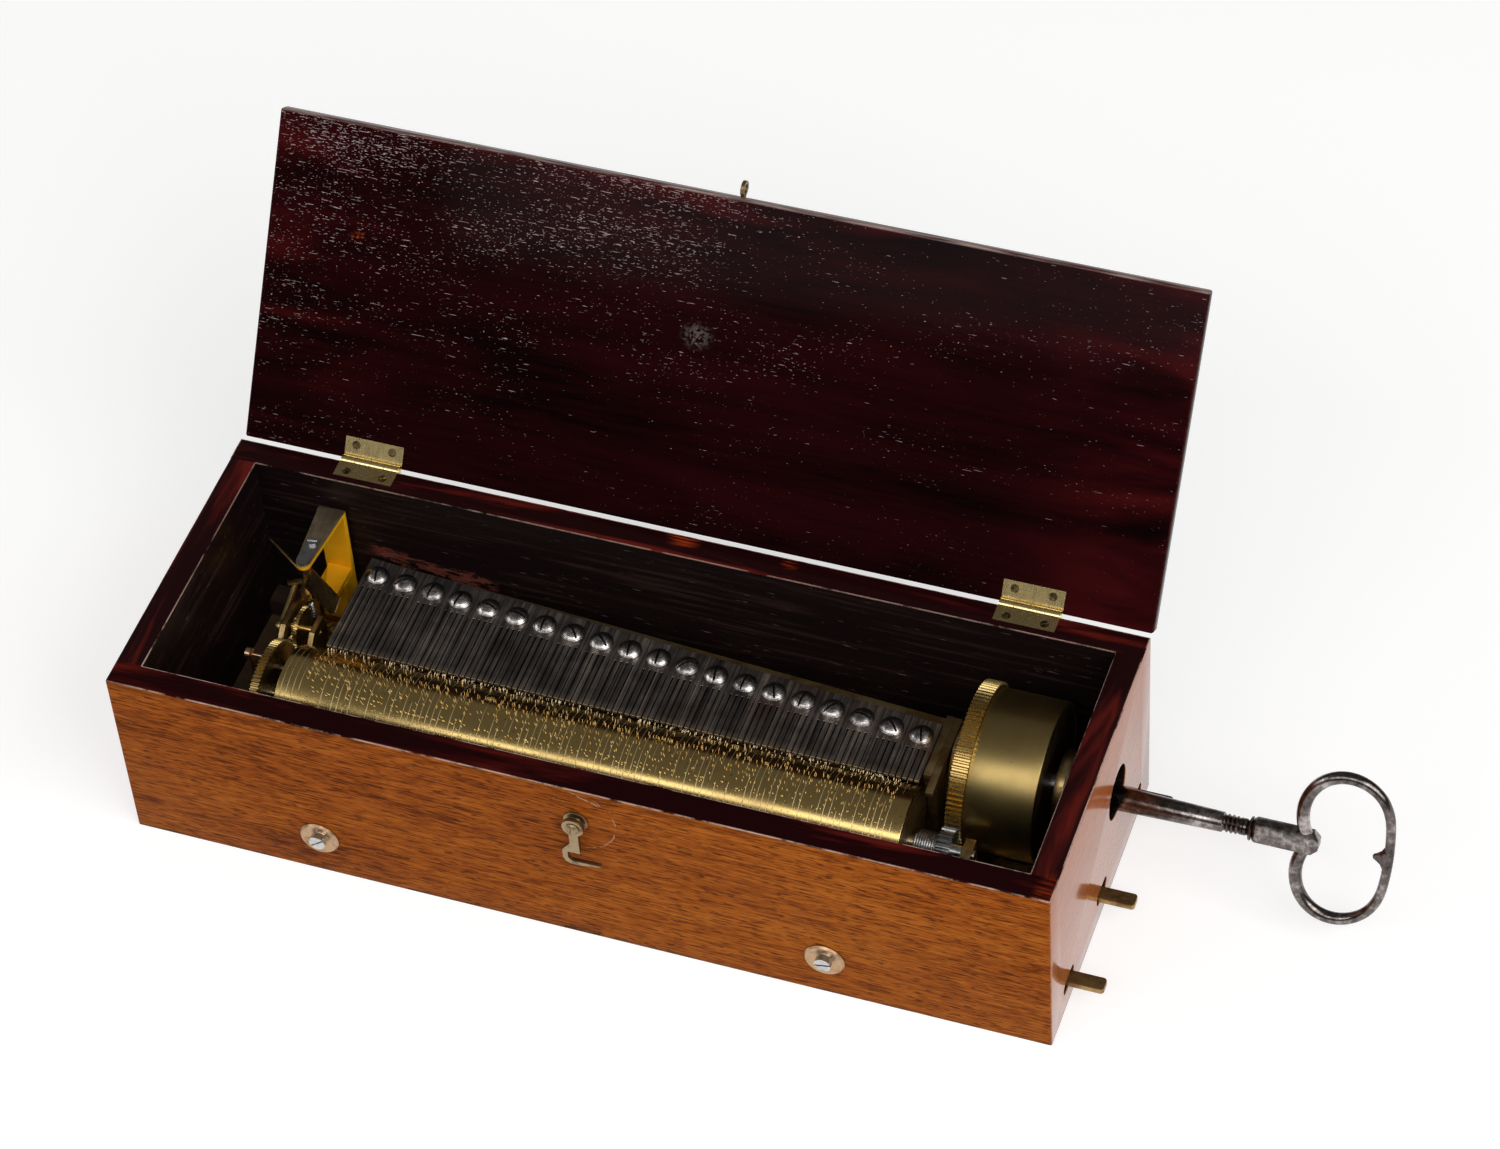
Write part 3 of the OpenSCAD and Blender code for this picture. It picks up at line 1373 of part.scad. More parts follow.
// The bow's outline: two oval lobes, closed smooth on the far side, with cusps inside
module bow_outline() {
    off = 11;
    outer_rx = bow_l / 2;
    outer_ry = bow_half - off;
    inner_off = 10.2;
    inner_rx = outer_rx - (bow_wire + bow_far_wire) / 2 + 0.3;
    inner_ry = bow_half - bow_wire - inner_off;
    difference() {
        union() {
            for (side = [-1, 1])
                polygon(lobe(0, side * off, outer_rx, outer_ry));
            translate([0, -off]) square([outer_rx, 2 * off]);
        }
        for (side = [-1, 1])
            polygon(lobe(0.6, side * inner_off, inner_rx, inner_ry));
    }
}

module winding_key() {
    pipe_x1 = collar_x - 9.6;
    bow_x0 = bow_mid_x - bow_l / 2;
    color("dimgray") translate([0, barrel_y, barrel_z]) difference() {
        union() {
            translate([key_x0, 0, 0]) rotate([0, 90, 0])
                cylinder(h = pipe_x1 - key_x0, r1 = key_r, r2 = key_neck_r);
            // ringed collar and neck
            translate([pipe_x1 - eps, 0, 0]) rotate([0, 90, 0]) rotate_extrude() polygon([
                [0, 0], [key_neck_r, 0], [key_neck_r - 0.8, 0.9], [key_neck_r - 0.1, 1.6],
                [key_neck_r - 0.9, 2.5], [key_neck_r - 0.2, 3.3], [key_neck_r - 0.9, 4.2],
                [key_neck_r - 0.6, 8], [key_neck_r + 0.9, 8.5], [key_neck_r + 0.9, 9.4],
                [key_neck_r + 0.2, 9.7], [0, 9.7]]);
            rotate([-bow_lean, 0, 0]) {
                translate([collar_x - 0.2, -bow_t * 0.6, -block_h / 2])
                    cube([block_l + 5, bow_t * 1.2, block_h]);
                rotate([90, 0, 0]) translate([bow_mid_x, 0, -bow_t / 2]) linear_extrude(bow_t)
                    bow_outline();
            }
        }
        translate([key_x0 - cut, -square_w / 2 - key_fit, -square_w / 2 - key_fit])
            cube([square_x1 - key_x0 + 1.5 + cut, square_w + 2 * key_fit, square_w + 2 * key_fit]);
    }
}

case_front();
case_back();
case_left_end();
case_right_end();
case_bottom();
movement_rails();
lid();
lid_eye();
hinge_case_leaves();
hinge_lid_leaves();
hinge_pins();
hinge_case_screws();
hinge_lid_screws();
latch_plate();
latch_hook();
latch_pivot_screw();
cup_washers();
bedplate_screws();
bedplate();
comb_base();
comb_supports();
comb_sections();
comb_screws();
comb_leads();
cylinder_left_bearing();
cylinder_right_bearing();
plate_screws();
detent_pin();
cylinder_tube();
cylinder_end_caps();
cylinder_arbor();
cylinder_great_wheel();
cylinder_pinion();
cylinder_dowel();
cylinder_spring();
barrel_drum();
barrel_great_wheel();
barrel_cap();
mainspring();
barrel_arbor();
ratchet_wheel();
ratchet_click();
click_spring();
click_screws();
barrel_left_bridge();
barrel_right_bridge();
bridge_screws();
governor_cock();
governor_frame();
endstone_cap();
governor_second_wheel();
governor_worm_wheel();
governor_worm();
governor_fly();
stop_arm();
control_lever_front();
control_lever_middle();
control_lever_back();
lever_pivot_screws();
winding_key();
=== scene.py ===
import json
import math
import random

import bmesh
import bpy
from mathutils import Matrix, Vector


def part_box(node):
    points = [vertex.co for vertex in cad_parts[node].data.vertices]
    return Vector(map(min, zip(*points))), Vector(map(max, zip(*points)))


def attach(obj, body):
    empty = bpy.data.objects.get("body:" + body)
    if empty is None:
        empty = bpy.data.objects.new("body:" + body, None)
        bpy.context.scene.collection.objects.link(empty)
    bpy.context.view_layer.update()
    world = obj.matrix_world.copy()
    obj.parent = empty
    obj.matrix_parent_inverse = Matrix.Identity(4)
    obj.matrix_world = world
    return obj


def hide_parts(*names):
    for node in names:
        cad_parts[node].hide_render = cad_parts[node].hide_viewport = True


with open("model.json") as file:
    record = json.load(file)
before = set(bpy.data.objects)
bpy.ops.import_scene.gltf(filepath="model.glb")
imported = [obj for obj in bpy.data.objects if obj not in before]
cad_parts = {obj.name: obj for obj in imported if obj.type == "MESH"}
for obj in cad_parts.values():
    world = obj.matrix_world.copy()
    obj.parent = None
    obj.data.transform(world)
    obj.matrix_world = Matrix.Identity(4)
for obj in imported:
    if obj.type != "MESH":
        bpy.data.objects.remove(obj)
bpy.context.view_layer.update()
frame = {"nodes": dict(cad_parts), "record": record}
nodes = frame["nodes"]
slotOf = {part["node"]: part["material_slot"] for part in frame["record"]["subparts"]}
bodyOf = {node: body for body, members in frame["record"]["behaviour"]["bodies"].items()
          for node in members}
mm = 0.001
print("frame loaded:", len(nodes), "solids")


cameraSet = {
    "lens": 114.2371,
    "sensor": 36,
    "clip": (0.05, 50),
    "place": (0.42754241, -0.92265894, 1.23205413),
    "right": (0.94385962, 0.32588629, -0.05410307),
    "up": (-0.2079949, 0.71349194, 0.66907949),
    "back": (0.25664594, -0.62026395, 0.74121892),
}


def makeCamera(s):
    data = bpy.data.cameras.new("camera")
    data.sensor_width = s["sensor"]
    data.lens = s["lens"]
    data.clip_start, data.clip_end = s["clip"]
    camera = bpy.data.objects.new("camera", data)
    bpy.context.scene.collection.objects.link(camera)
    camera.matrix_world = Matrix([s["right"], s["up"], s["back"]]).transposed().to_4x4()
    camera.location = s["place"]
    bpy.context.scene.camera = camera


# toward: degrees round from the front, degrees above the table
lampSet = {
    "front": {"toward": (3, 47.5), "roll": 2, "away": 2.6, "size": (3.6, 1.15), "power": 31.0},
    "left": {"toward": (-72, 28), "roll": 0, "away": 2.6, "size": (1.6, 0.8), "power": 11.5},
    "right": {"toward": (64, 40), "roll": 0, "away": 2.6, "size": (1.8, 1.8), "power": 37.0},
}
aimPoint = Vector((0.01, 0.0, 0.05))


def makeLamp(name, s):
    turn, rise = (math.radians(a) for a in s["toward"])
    flat = math.cos(rise)
    way = Vector((math.sin(turn) * flat, -math.cos(turn) * flat, math.sin(rise)))
    data = bpy.data.lights.new(name, "AREA")
    data.shape = "RECTANGLE"
    data.size, data.size_y = s["size"]
    data.energy = s["power"]
    lamp = bpy.data.objects.new(name, data)
    bpy.context.scene.collection.objects.link(lamp)
    lamp.location = aimPoint + way * s["away"]
    roll = Matrix.Rotation(math.radians(s["roll"]), 3, "Z").to_quaternion()
    lamp.rotation_euler = (way.to_track_quat("Z", "Y") @ roll).to_euler()


class Number:
    # a socket's value: arithmetic on it adds Math nodes
    def __init__(self, look, socket):
        self.look = look
        self.socket = socket

    def math(self, operation, *values):
        return self.look.add("ShaderNodeMath", {"operation": operation}, dict(enumerate(values)))

    def __add__(self, other):
        return self.math("ADD", self, other)

    def __radd__(self, other):
        return self.math("ADD", other, self)

    def __sub__(self, other):
        return self.math("SUBTRACT", self, other)

    def __rsub__(self, other):
        return self.math("SUBTRACT", other, self)

    def __mul__(self, other):
        return self.math("MULTIPLY", self, other)

    def __rmul__(self, other):
        return self.math("MULTIPLY", other, self)

    def __truediv__(self, other):
        return self.math("DIVIDE", self, other)

    def __pow__(self, other):
        return self.math("POWER", self, other)

    def __abs__(self):
        return self.math("ABSOLUTE", self)

    def sine(self):
        return self.math("SINE", self)

    def whole(self):
        return self.math("ROUND", self)

    def most(self, other):
        return self.math("MAXIMUM", self, other)

    def rise(self, low, high):  # 0 at low, 1 at high, smooth between, either way round
        return self.look.add("ShaderNodeMapRange", {"interpolation_type": "SMOOTHSTEP"},
                             {"Value": self, "From Min": low, "From Max": high})


class Look:
    # a material being built round one Principled shader
    def __init__(self, name, **constants):
        self.material = bpy.data.materials.new(name)
        self.material.use_nodes = True
        self.tree = self.material.node_tree
        self.tree.nodes.clear()
        self.shader = self.tree.nodes.new("ShaderNodeBsdfPrincipled")
        output = self.tree.nodes.new("ShaderNodeOutputMaterial")
        self.tree.links.new(self.shader.outputs[0], output.inputs[0])
        for key, value in constants.items():
            self.feed(self.shader, key, value)
        self.place = self.add("ShaderNodeTexCoord", output="Object")

    def feed(self, node, key, value):
        if isinstance(key, int):
            target = node.inputs[key]
        else:
            target = next(s for s in node.inputs
                          if s.enabled and s.name.replace(" ", "") == key.replace(" ", ""))
        if isinstance(value, Number):
            self.tree.links.new(value.socket, target)
        elif target.type == "RGBA":
            target.default_value = (*value[:3], 1)
        else:
            target.default_value = value

    def add(self, kind, settings=None, sockets=None, output=0):
        node = self.tree.nodes.new(kind)
        for name, value in (settings or {}).items():
            if name == "stops":
                ramp = node.color_ramp.elements
                while len(ramp) < len(value):
                    ramp.new(1)
                for stop, (at, colour) in zip(ramp, value):
                    stop.position, stop.color = at, (*colour, 1)
            else:
                setattr(node, name, value)
        for key, value in (sockets or {}).items():
            self.feed(node, key, value)
        shown = [s for s in node.outputs if s.enabled]
        if isinstance(output, int):
            return Number(self, shown[output])
        return Number(self, next(s for s in shown if s.name == output))

    def axes(self, place=None):
        node = self.add("ShaderNodeSeparateXYZ", None, {0: place or self.place}).socket.node
        return [Number(self, s) for s in node.outputs]

    def stretch(self, scale, turn=(0, 0, 0), shift=(0, 0, 0), place=None):
        return self.add("ShaderNodeMapping", {"vector_type": "POINT"},
                        {"Vector": place or self.place, "Scale": scale, "Rotation": turn,
                         "Location": shift})

    def noise(self, place, scale=1.0, detail=3.0, rough=0.5, bend=0.0):
        return self.add("ShaderNodeTexNoise", None,
                        {"Vector": place, "Scale": scale, "Detail": detail, "Roughness": rough,
                         "Distortion": bend})

    def cells(self, place, scale):
        return self.add("ShaderNodeTexVoronoi", {"feature": "F1"},
                        {"Vector": place, "Scale": scale})

    def mix(self, share, first, second):
        return self.add("ShaderNodeMix", {"data_type": "RGBA"},
                        {"Factor": share, "A": first, "B": second})

    def ramp(self, value, *stops):
        return self.add("ShaderNodeValToRGB", {"stops": stops}, {"Fac": value})

    def bump(self, height, depth, strength):
        normal = self.add("ShaderNodeBump", None,
                          {"Strength": strength, "Distance": depth, "Height": height})
        self.feed(self.shader, "Normal", normal)

    def finish(self, colour=None, roughness=None, **others):
        for name, value in {"BaseColor": colour, "Roughness": roughness, **others}.items():
            if value is not None:
                self.feed(self.shader, name, value)
        return self.material


# the four boards of the case; a band is how deep in mm a finish starts and is full
woodSet = {
    "light": (0.50, 0.148, 0.019),
    "mid": (0.37, 0.09, 0.010),
    "dark": (0.10, 0.020, 0.0035),
    "stops": (0.37, 0.475, 0.58),  # where dark, mid and light lie in the grain's tone
    "rim": (0.013, 0.0019, 0.0024),
    "rimGlow": (0.12, 0.011, 0.007),
    "amber": (0.3, 0.035, 0.006),
    "amberSpots": (  # x, y, squash along y, outer reach, full inside, strength
        (0.0003, 0.0545, 1.6, 0.0075, 0.001, 1.0),
        (0.0379, 0.0538, 1.6, 0.004, 0.001, 0.7),
        (0.1585, -0.055, 0.5, 0.006, 0.002, 0.5),
    ),
    "inside": (0.0075, 0.0036, 0.0038),
    "insideStreak": (0.028, 0.014, 0.013),
    "fleck": (0.2, 0.16, 0.15),
    # pale: for specks in the veneer, and for the arrises, where it is partly a painted highlight
    "arris": (0.56, 0.38, 0.3),
    "halfLength": 0.160,
    "halfDepth": 0.0565,
    "wall": 0.0092,
    "rimHeight": 0.0743,
    "outerBand": (0.5, 0.25),
    "rimBand": (0.55, 0.3),
    "outerArris": (0.5, 0.32),
    "innerArris": (0.5, 0.2),
    "innerEdge": (0.4, 0.15),
    "innerOverrun": 0.3,
    "shadeDown": 2.2,
    "shadeBand": (1.8, 0.6),
}


def caseWood(name, alongX, **constants):
    s = woodSet
    look = Look(name, **constants)
    x, y, z = look.axes()
    length, depth, height = s["halfLength"], s["halfDepth"], s["rimHeight"]

    def grain(along, across, **others):
        scale = (along, across, across) if alongX else (across, along, across)
        return look.noise(look.stretch(scale), **others)

    def upTo(value, limit, band):  # 1 at a face of the board, 0 deeper than the band
        return value.rise(limit - band[0] * mm, limit - band[1] * mm)

    def spot(middleX, middleY, squash, reach, core, strength):
        away = ((x - middleX) ** 2 + ((y - middleY) * squash) ** 2) ** 0.5
        return away.rise(reach, core) * strength

    broad = grain(6, 42, detail=3, bend=0.8)
    bands = grain(26, 330, detail=3, rough=0.6, bend=0.5)
    fine = grain(120, 1500, detail=3, rough=0.6)
    pores = grain(210, 1900, detail=1).rise(0.56, 0.66)
    tone = broad * 0.28 + bands * 0.24 + fine * 0.48
    veneer = look.ramp(tone, *zip(s["stops"], (s["dark"], s["mid"], s["light"])))
    streaks = grain(75, 1100, detail=2, rough=0.5).rise(0.53, 0.66) * broad.rise(0.36, 0.56)
    veneer = look.mix((streaks * 0.55).most(pores * 0.85), veneer, s["dark"])
    speck = look.noise(look.place, 230, detail=4).rise(0.70, 0.76)
    veneer = look.mix(speck * 0.25, veneer, s["arris"])
    # rim: dark red polish, warmer in places where it has thinned
    thin = grain(13, 120, detail=4, rough=0.6, bend=0.5).rise(0.47, 0.72)
    rim = look.mix(thin, s["rim"], s["rimGlow"])
    streak = grain(22, 500, detail=3)
    inside = look.mix(streak.rise(0.5, 0.8), s["inside"], s["insideStreak"])
    flecks = grain(160, 1700, detail=2).rise(0.7, 0.78)
    inside = look.mix(flecks * 0.5, inside, s["fleck"])
    atEnds = upTo(abs(x), length, s["outerBand"])
    atSides = upTo(abs(y), depth, s["outerBand"])
    outer = atEnds.most(atSides)
    top = upTo(z, height, s["rimBand"])
    # two amber places on the rim behind, and one at the right front corner
    first, second, third = [spot(*values) for values in s["amberSpots"]]
    amber = first.most(second).most(third)
    rim = look.mix(amber * grain(60, 900, detail=3).rise(0.4, 0.6), rim, s["amber"])
    colour = look.mix(outer, inside, veneer)
    colour = look.mix(top, colour, rim)
    # pale arrises along the rim's outer and inner edges: partly wear, partly a painted highlight
    wearAndHighlight = look.noise(look.place, 70, detail=6, rough=0.7)
    edge = outer * upTo(z, height, s["outerArris"])
    innerX, innerY = length - s["wall"], depth - s["wall"]
    start, full = (b * mm for b in s["innerEdge"])
    overrun = s["innerOverrun"] * mm
    onX = abs(abs(x) - innerX)
    onY = abs(abs(y) - innerY)
    onX = onX.rise(start, full) * abs(y).rise(innerY + overrun, innerY)
    onY = onY.rise(start, full) * abs(x).rise(innerX + overrun, innerX)
    inner = onX.most(onY) * upTo(z, height, s["innerArris"])
    share = edge * wearAndHighlight.rise(0.4, 0.58) * 0.9
    # painted highlight: the inner arrises are paler towards the front
    nearFront = y.rise(0.0, -0.04) * 0.45 + 0.5
    share = share.most(inner * wearAndHighlight.rise(0.4, 0.54) * nearFront)
    colour = look.mix(share, colour, s["arris"])
    # dark shade where the polish ends, just under the rim
    start, full = (b * mm for b in s["shadeBand"])
    under = outer * abs(z - (height - s["shadeDown"] * mm)).rise(start, full)
    colour = look.mix(under * broad.rise(0.4, 0.62) * 0.4, colour, s["dark"])
    return look, colour, {"x": x, "y": y, "z": z, "outer": outer, "top": top, "pores": pores,
                          "fibre": fine, "streak": streak}


# places are in metres; a pair is where a mark fades out and where it is full
frontSet = {
    "specular": 0.035,
    "face": (-0.0561, -0.0564),
    "pivot": (0.0027, 0.0596),  # x and z of the latch hook's screw
    "ring": {"radius": 0.0133, "shake": 0.0012, "thick": (0.00026, 0.00005),
             "left": (0.001, 0.004), "top": (0.0125, 0.010)},
    "high": {"up": 0.0112, "from": 0.004, "slope": 0.42, "shake": 0.002,
             "thick": (0.0004, 0.00008), "left": (-0.002, 0.001), "right": (0.0135, 0.011)},
    "low": {"up": 0.0082, "shake": 0.003, "thick": (0.0004, 0.0001), "leftBy": 0.0075,
            "half": (0.0045, 0.002)},
    "scratch": (0.6, 0.45, 0.34),
    "knock": {"leftBy": 0.0005, "half": (0.0085, 0.006), "top": (0.0042, 0.0015)},
    "lowEdge": (0.0016, 0.0004),
    "chip": (0.03, 0.01, 0.005),
}


def frontBoardLook():
    s = frontSet
    look, colour, m = caseWood("frontVeneer", True, SpecularIORLevel=s["specular"])
    x, z = m["x"], m["z"]
    face = m["y"].rise(*s["face"])
    # fine scratches round the latch, left by the hook as it swung
    dx, dz = x - s["pivot"][0], z - s["pivot"][1]
    far = (dx * dx + dz * dz) ** 0.5
    jitter = look.noise(look.place, 260, detail=3)
    mark = s["ring"]
    ring = abs(far - mark["radius"] + (jitter - 0.5) * mark["shake"]).rise(*mark["thick"])
    ring = ring * dx.rise(*mark["left"]) * dz.rise(*mark["top"])
    mark = s["high"]
    high = dz - mark["up"] + (dx - mark["from"]) * mark["slope"]
    high = abs(high + (jitter - 0.5) * mark["shake"]).rise(*mark["thick"])
    high = high * dx.rise(*mark["left"]) * dx.rise(*mark["right"])
    mark = s["low"]
    low = abs(dz - mark["up"] - (jitter - 0.5) * mark["shake"]).rise(*mark["thick"])
    low = low * abs(dx + mark["leftBy"]).rise(*mark["half"])
    broken = look.noise(look.place, 420, detail=2).rise(0.4, 0.55)
    marks = face * ring.most(high).most(low) * broken
    colour = look.mix(marks * 0.7, colour, s["scratch"])
    # the bottom edge is knocked: bare dark wood in the chips
    chip = look.noise(look.stretch((90, 90, 200)), detail=5, rough=0.65)
    knock = s["knock"]
    nearLatch = abs(x + knock["leftBy"]).rise(*knock["half"]) * z.rise(*knock["top"])
    lowEdge = z.rise(*s["lowEdge"]) * chip.rise(0.42, 0.52)
    chips = face * (nearLatch * chip.rise(0.4, 0.5)).most(lowEdge)
    colour = look.mix(chips * 0.85, colour, s["chip"])
    look.bump(m["pores"] * -0.6 + m["fibre"] * 0.25 - chips * 3 - marks, 0.00006, 0.5)
    return look.finish(colour, 0.4 + m["fibre"] * 0.16 - m["top"] * 0.32)


backSet = {
    "specular": 0.12,
    "height": 0.0398,  # of the bare patch, where its slope starts
    "slopeFrom": 0.088,  # metres left of the middle
    "slope": 0.12,
    "ragged": 0.016,
    "thick": (0.0029, 0.0022),
    "leftBy": 0.0895,
    "half": (0.0245, 0.0195),
    "wallFace": (0.0480, 0.0474),
    "bareDark": (0.09, 0.02, 0.015),
    "bareLight": (0.2, 0.058, 0.04),
}


def backBoardLook():
    s = backSet
    look, colour, m = caseWood("backVeneer", True, SpecularIORLevel=s["specular"])
    x, y, z = m["x"], m["y"], m["z"]
    # bare reddish patch where the finish has come away behind the comb
    patch = look.noise(look.stretch((120, 120, 300)), detail=5, rough=0.75, bend=0.8)
    line = s["height"] - (x + s["slopeFrom"]) * s["slope"]
    band = abs(z - line + (patch - 0.5) * s["ragged"]).rise(*s["thick"])
    band = band * abs(x + s["leftBy"]).rise(*s["half"])
    torn = look.noise(look.stretch((150, 150, 420)), detail=4, rough=0.7)
    bare = band * torn.rise(0.43, 0.47) * y.rise(*s["wallFace"])
    shade = look.mix(patch.rise(0.35, 0.6), s["bareDark"], s["bareLight"])
    colour = look.mix(bare * 0.9, colour, shade)
    look.bump(m["pores"] * -0.5 + m["streak"] * 0.3 + bare * -0.8, 0.00008, 0.5)
    return look.finish(colour, 0.34 + m["streak"] * 0.2 - m["top"] * 0.26)


endSet = {
    "specular": 0.15,
    "coat": 0.42,
    "coatRough": 0.06,
    "face": (0.1598, 0.15995),
    "warm": (0.6, 0.17, 0.06),
}


def endBoardLook():
    s = endSet
    look, colour, m = caseWood("endVeneer", False, SpecularIORLevel=s["specular"],
                               CoatRoughness=s["coatRough"])
    soft = look.noise(look.stretch((30, 30, 60)), detail=3)
    rough = 0.14 + m["fibre"] * 0.06 + soft * 0.04
    rough = rough + (1 - m["outer"]) * 0.12
    start, full = s["face"]
    warm = m["outer"] * m["x"].rise(start, full).most(m["x"].rise(-start, -full))
    colour = look.mix(warm * 0.5, colour, s["warm"])
    look.bump(m["pores"] * -0.4 + m["fibre"] * 0.1, 0.00002, 0.3)
    return look.finish(colour, rough, CoatWeight=m["outer"] * s["coat"])


plainWoodSet = {
    "bottom_board": {"name": "bottomWood", "light": (0.16, 0.10, 0.055),
                     "dark": (0.07, 0.04, 0.02)},
    "rail_wood": {"name": "railWood", "light": (0.05, 0.03, 0.02), "dark": (0.02, 0.012, 0.009)},
}


def plainWoodLook(name, light, dark):
    look = Look(name, SpecularIORLevel=0.3)
    grain = look.noise(look.stretch((9, 130, 130)), detail=4, rough=0.6, bend=0.5)
    fibre = look.noise(look.stretch((60, 1500, 1500)), detail=3)
    tone = grain * 0.6 + fibre * 0.4
    look.bump(fibre, 0.00008, 0.4)
    return look.finish(look.ramp(tone, (0.3, dark), (0.65, light)), 0.5 + fibre * 0.2)


lidSet = {
    "openAngle": 123.3,
    "hinge": (0, 0.05803, 0.07316),
    "round": 0.8,  # of the board's edges, in mm
    "snap": 0.01,  # how near in mm counts as being at a limit
    "specular": 0.025,
    "red": (0.0145, 0.0017, 0.0024),
    "black": (0.0036, 0.0008, 0.0011),
    "glow": (0.055, 0.0045, 0.005),
    "pore": (0.62, 0.5, 0.5),
    "longPore": 0.815,  # how rare the two kinds of pore are
    "shortPore": 0.80,
    "poreEdge": 26,
    "scuff": (0.0058, 0.0667),  # metres left of the middle, metres from the hinge
    "scuffPale": (0.3, 0.26, 0.25),
    "ember": (0.126, 0.0763),
    "amber": (0.3, 0.04, 0.008),
    "ends": (0.1592, 0.1598),
    "endBrown": (0.055, 0.013, 0.010),
    "endDark": (0.018, 0.004, 0.004),
    "free": (-0.1135, -0.1144),
    "edge": (0.42, 0.3, 0.27),
    "edgeDark": (0.07, 0.022, 0.018),
}


def lidLook():
    s = lidSet
    look = Look("lidPolish", SpecularIORLevel=s["specular"])
    # the lid's own axes: x along, y from the free edge (-) to the hinge
    lean = math.radians(s["openAngle"])
    atHinge = look.stretch((1, 1, 1), shift=-Vector(s["hinge"]))
    flat = look.stretch((1, 1, 1), turn=(lean, 0, 0), place=atHinge)
    x, y = look.axes(flat)[:2]

    def along(*scale, **others):
        return look.noise(look.stretch(scale, place=flat), **others)

    waves = along(5, 46, 46, detail=4, rough=0.6, bend=0.8)
    fibre = along(45, 900, 900, detail=3)
    colour = look.ramp(waves * 0.72 + fibre * 0.28, (0.38, s["black"]), (0.6, s["red"]))
    nearEnd = abs(x).rise(0.10, 0.158)
    nearTop = y.rise(-0.095, -0.118)
    warm = along(12, 60, 60, detail=4, bend=0.5).rise(0.4, 0.7)
    colour = look.mix(warm * (nearEnd.most(nearTop) * 0.8 + 0.12), colour, s["glow"])
    # open pores that catch the light: thick at the free edge's left, thin at the hinge's right
    drift = along(16, 60, 60, detail=3)
    weight = x.rise(0.12, -0.12) * 0.5 + y.rise(0.0, -0.09) * 0.5
    fringe = y.rise(-0.066, -0.108) * x.rise(0.06, -0.01)
    crowd = weight * 0.085 + (drift - 0.5) * 0.26 + fringe * 0.035
    long = along(230, 3300, 3300, detail=1, rough=0.4)
    short = along(900, 3300, 3300, detail=1, rough=0.4)
    long = ((long + crowd - s["longPore"]) * s["poreEdge"]).rise(0, 1)
    short = ((short + crowd - s["shortPore"]) * s["poreEdge"]).rise(0, 1)
    pores = long.most(short)
    colour = look.mix(pores * (0.32 + weight * 0.42), colour, s["pore"])
    # a pale scuff in the middle and a small amber place at the left
    rubbed = look.noise(look.place, 60, detail=4)
    dx, dy = x + s["scuff"][0], y + s["scuff"][1]
    scuff = ((dx * dx * 1.5 + dy * dy * 2) ** 0.5).rise(0.0085, 0.001)
    scuff = scuff * look.noise(look.place, 900, detail=3).rise(0.42, 0.62)
    colour = look.mix(scuff * 0.3, colour, s["scuffPale"])
    dx, dy = x + s["ember"][0], y + s["ember"][1]
    ember = ((dx * dx + dy * dy * 5) ** 0.5).rise(0.006, 0.001)
    ember = ember * look.noise(look.place, 700, detail=2).rise(0.5, 0.62)
    colour = look.mix(ember * 0.7, colour, s["amber"])
    # thin edge of the board, pale and rubbed along the free side, dark at both ends
    streak = along(40, 700, 700, detail=4).rise(0.35, 0.65)
    ends = abs(x).rise(*s["ends"])
    colour = look.mix(ends, colour, look.mix(streak, s["endDark"], s["endBrown"]))
    free = y.rise(*s["free"])
    colour = look.mix(free, colour, look.mix(streak, s["edgeDark"], s["edge"]))
    look.bump(pores * 0.5 + fibre * 0.2, 0.00004, 0.4)
    return look.finish(colour, 0.07 + fibre * 0.04 + rubbed * 0.04)


brassTones = {
    "bright": (0.68, 0.46, 0.155),
    "toned": (0.44, 0.29, 0.11),
    "brown": (0.17, 0.095, 0.036),
    "dull": (0.3, 0.22, 0.12),
}
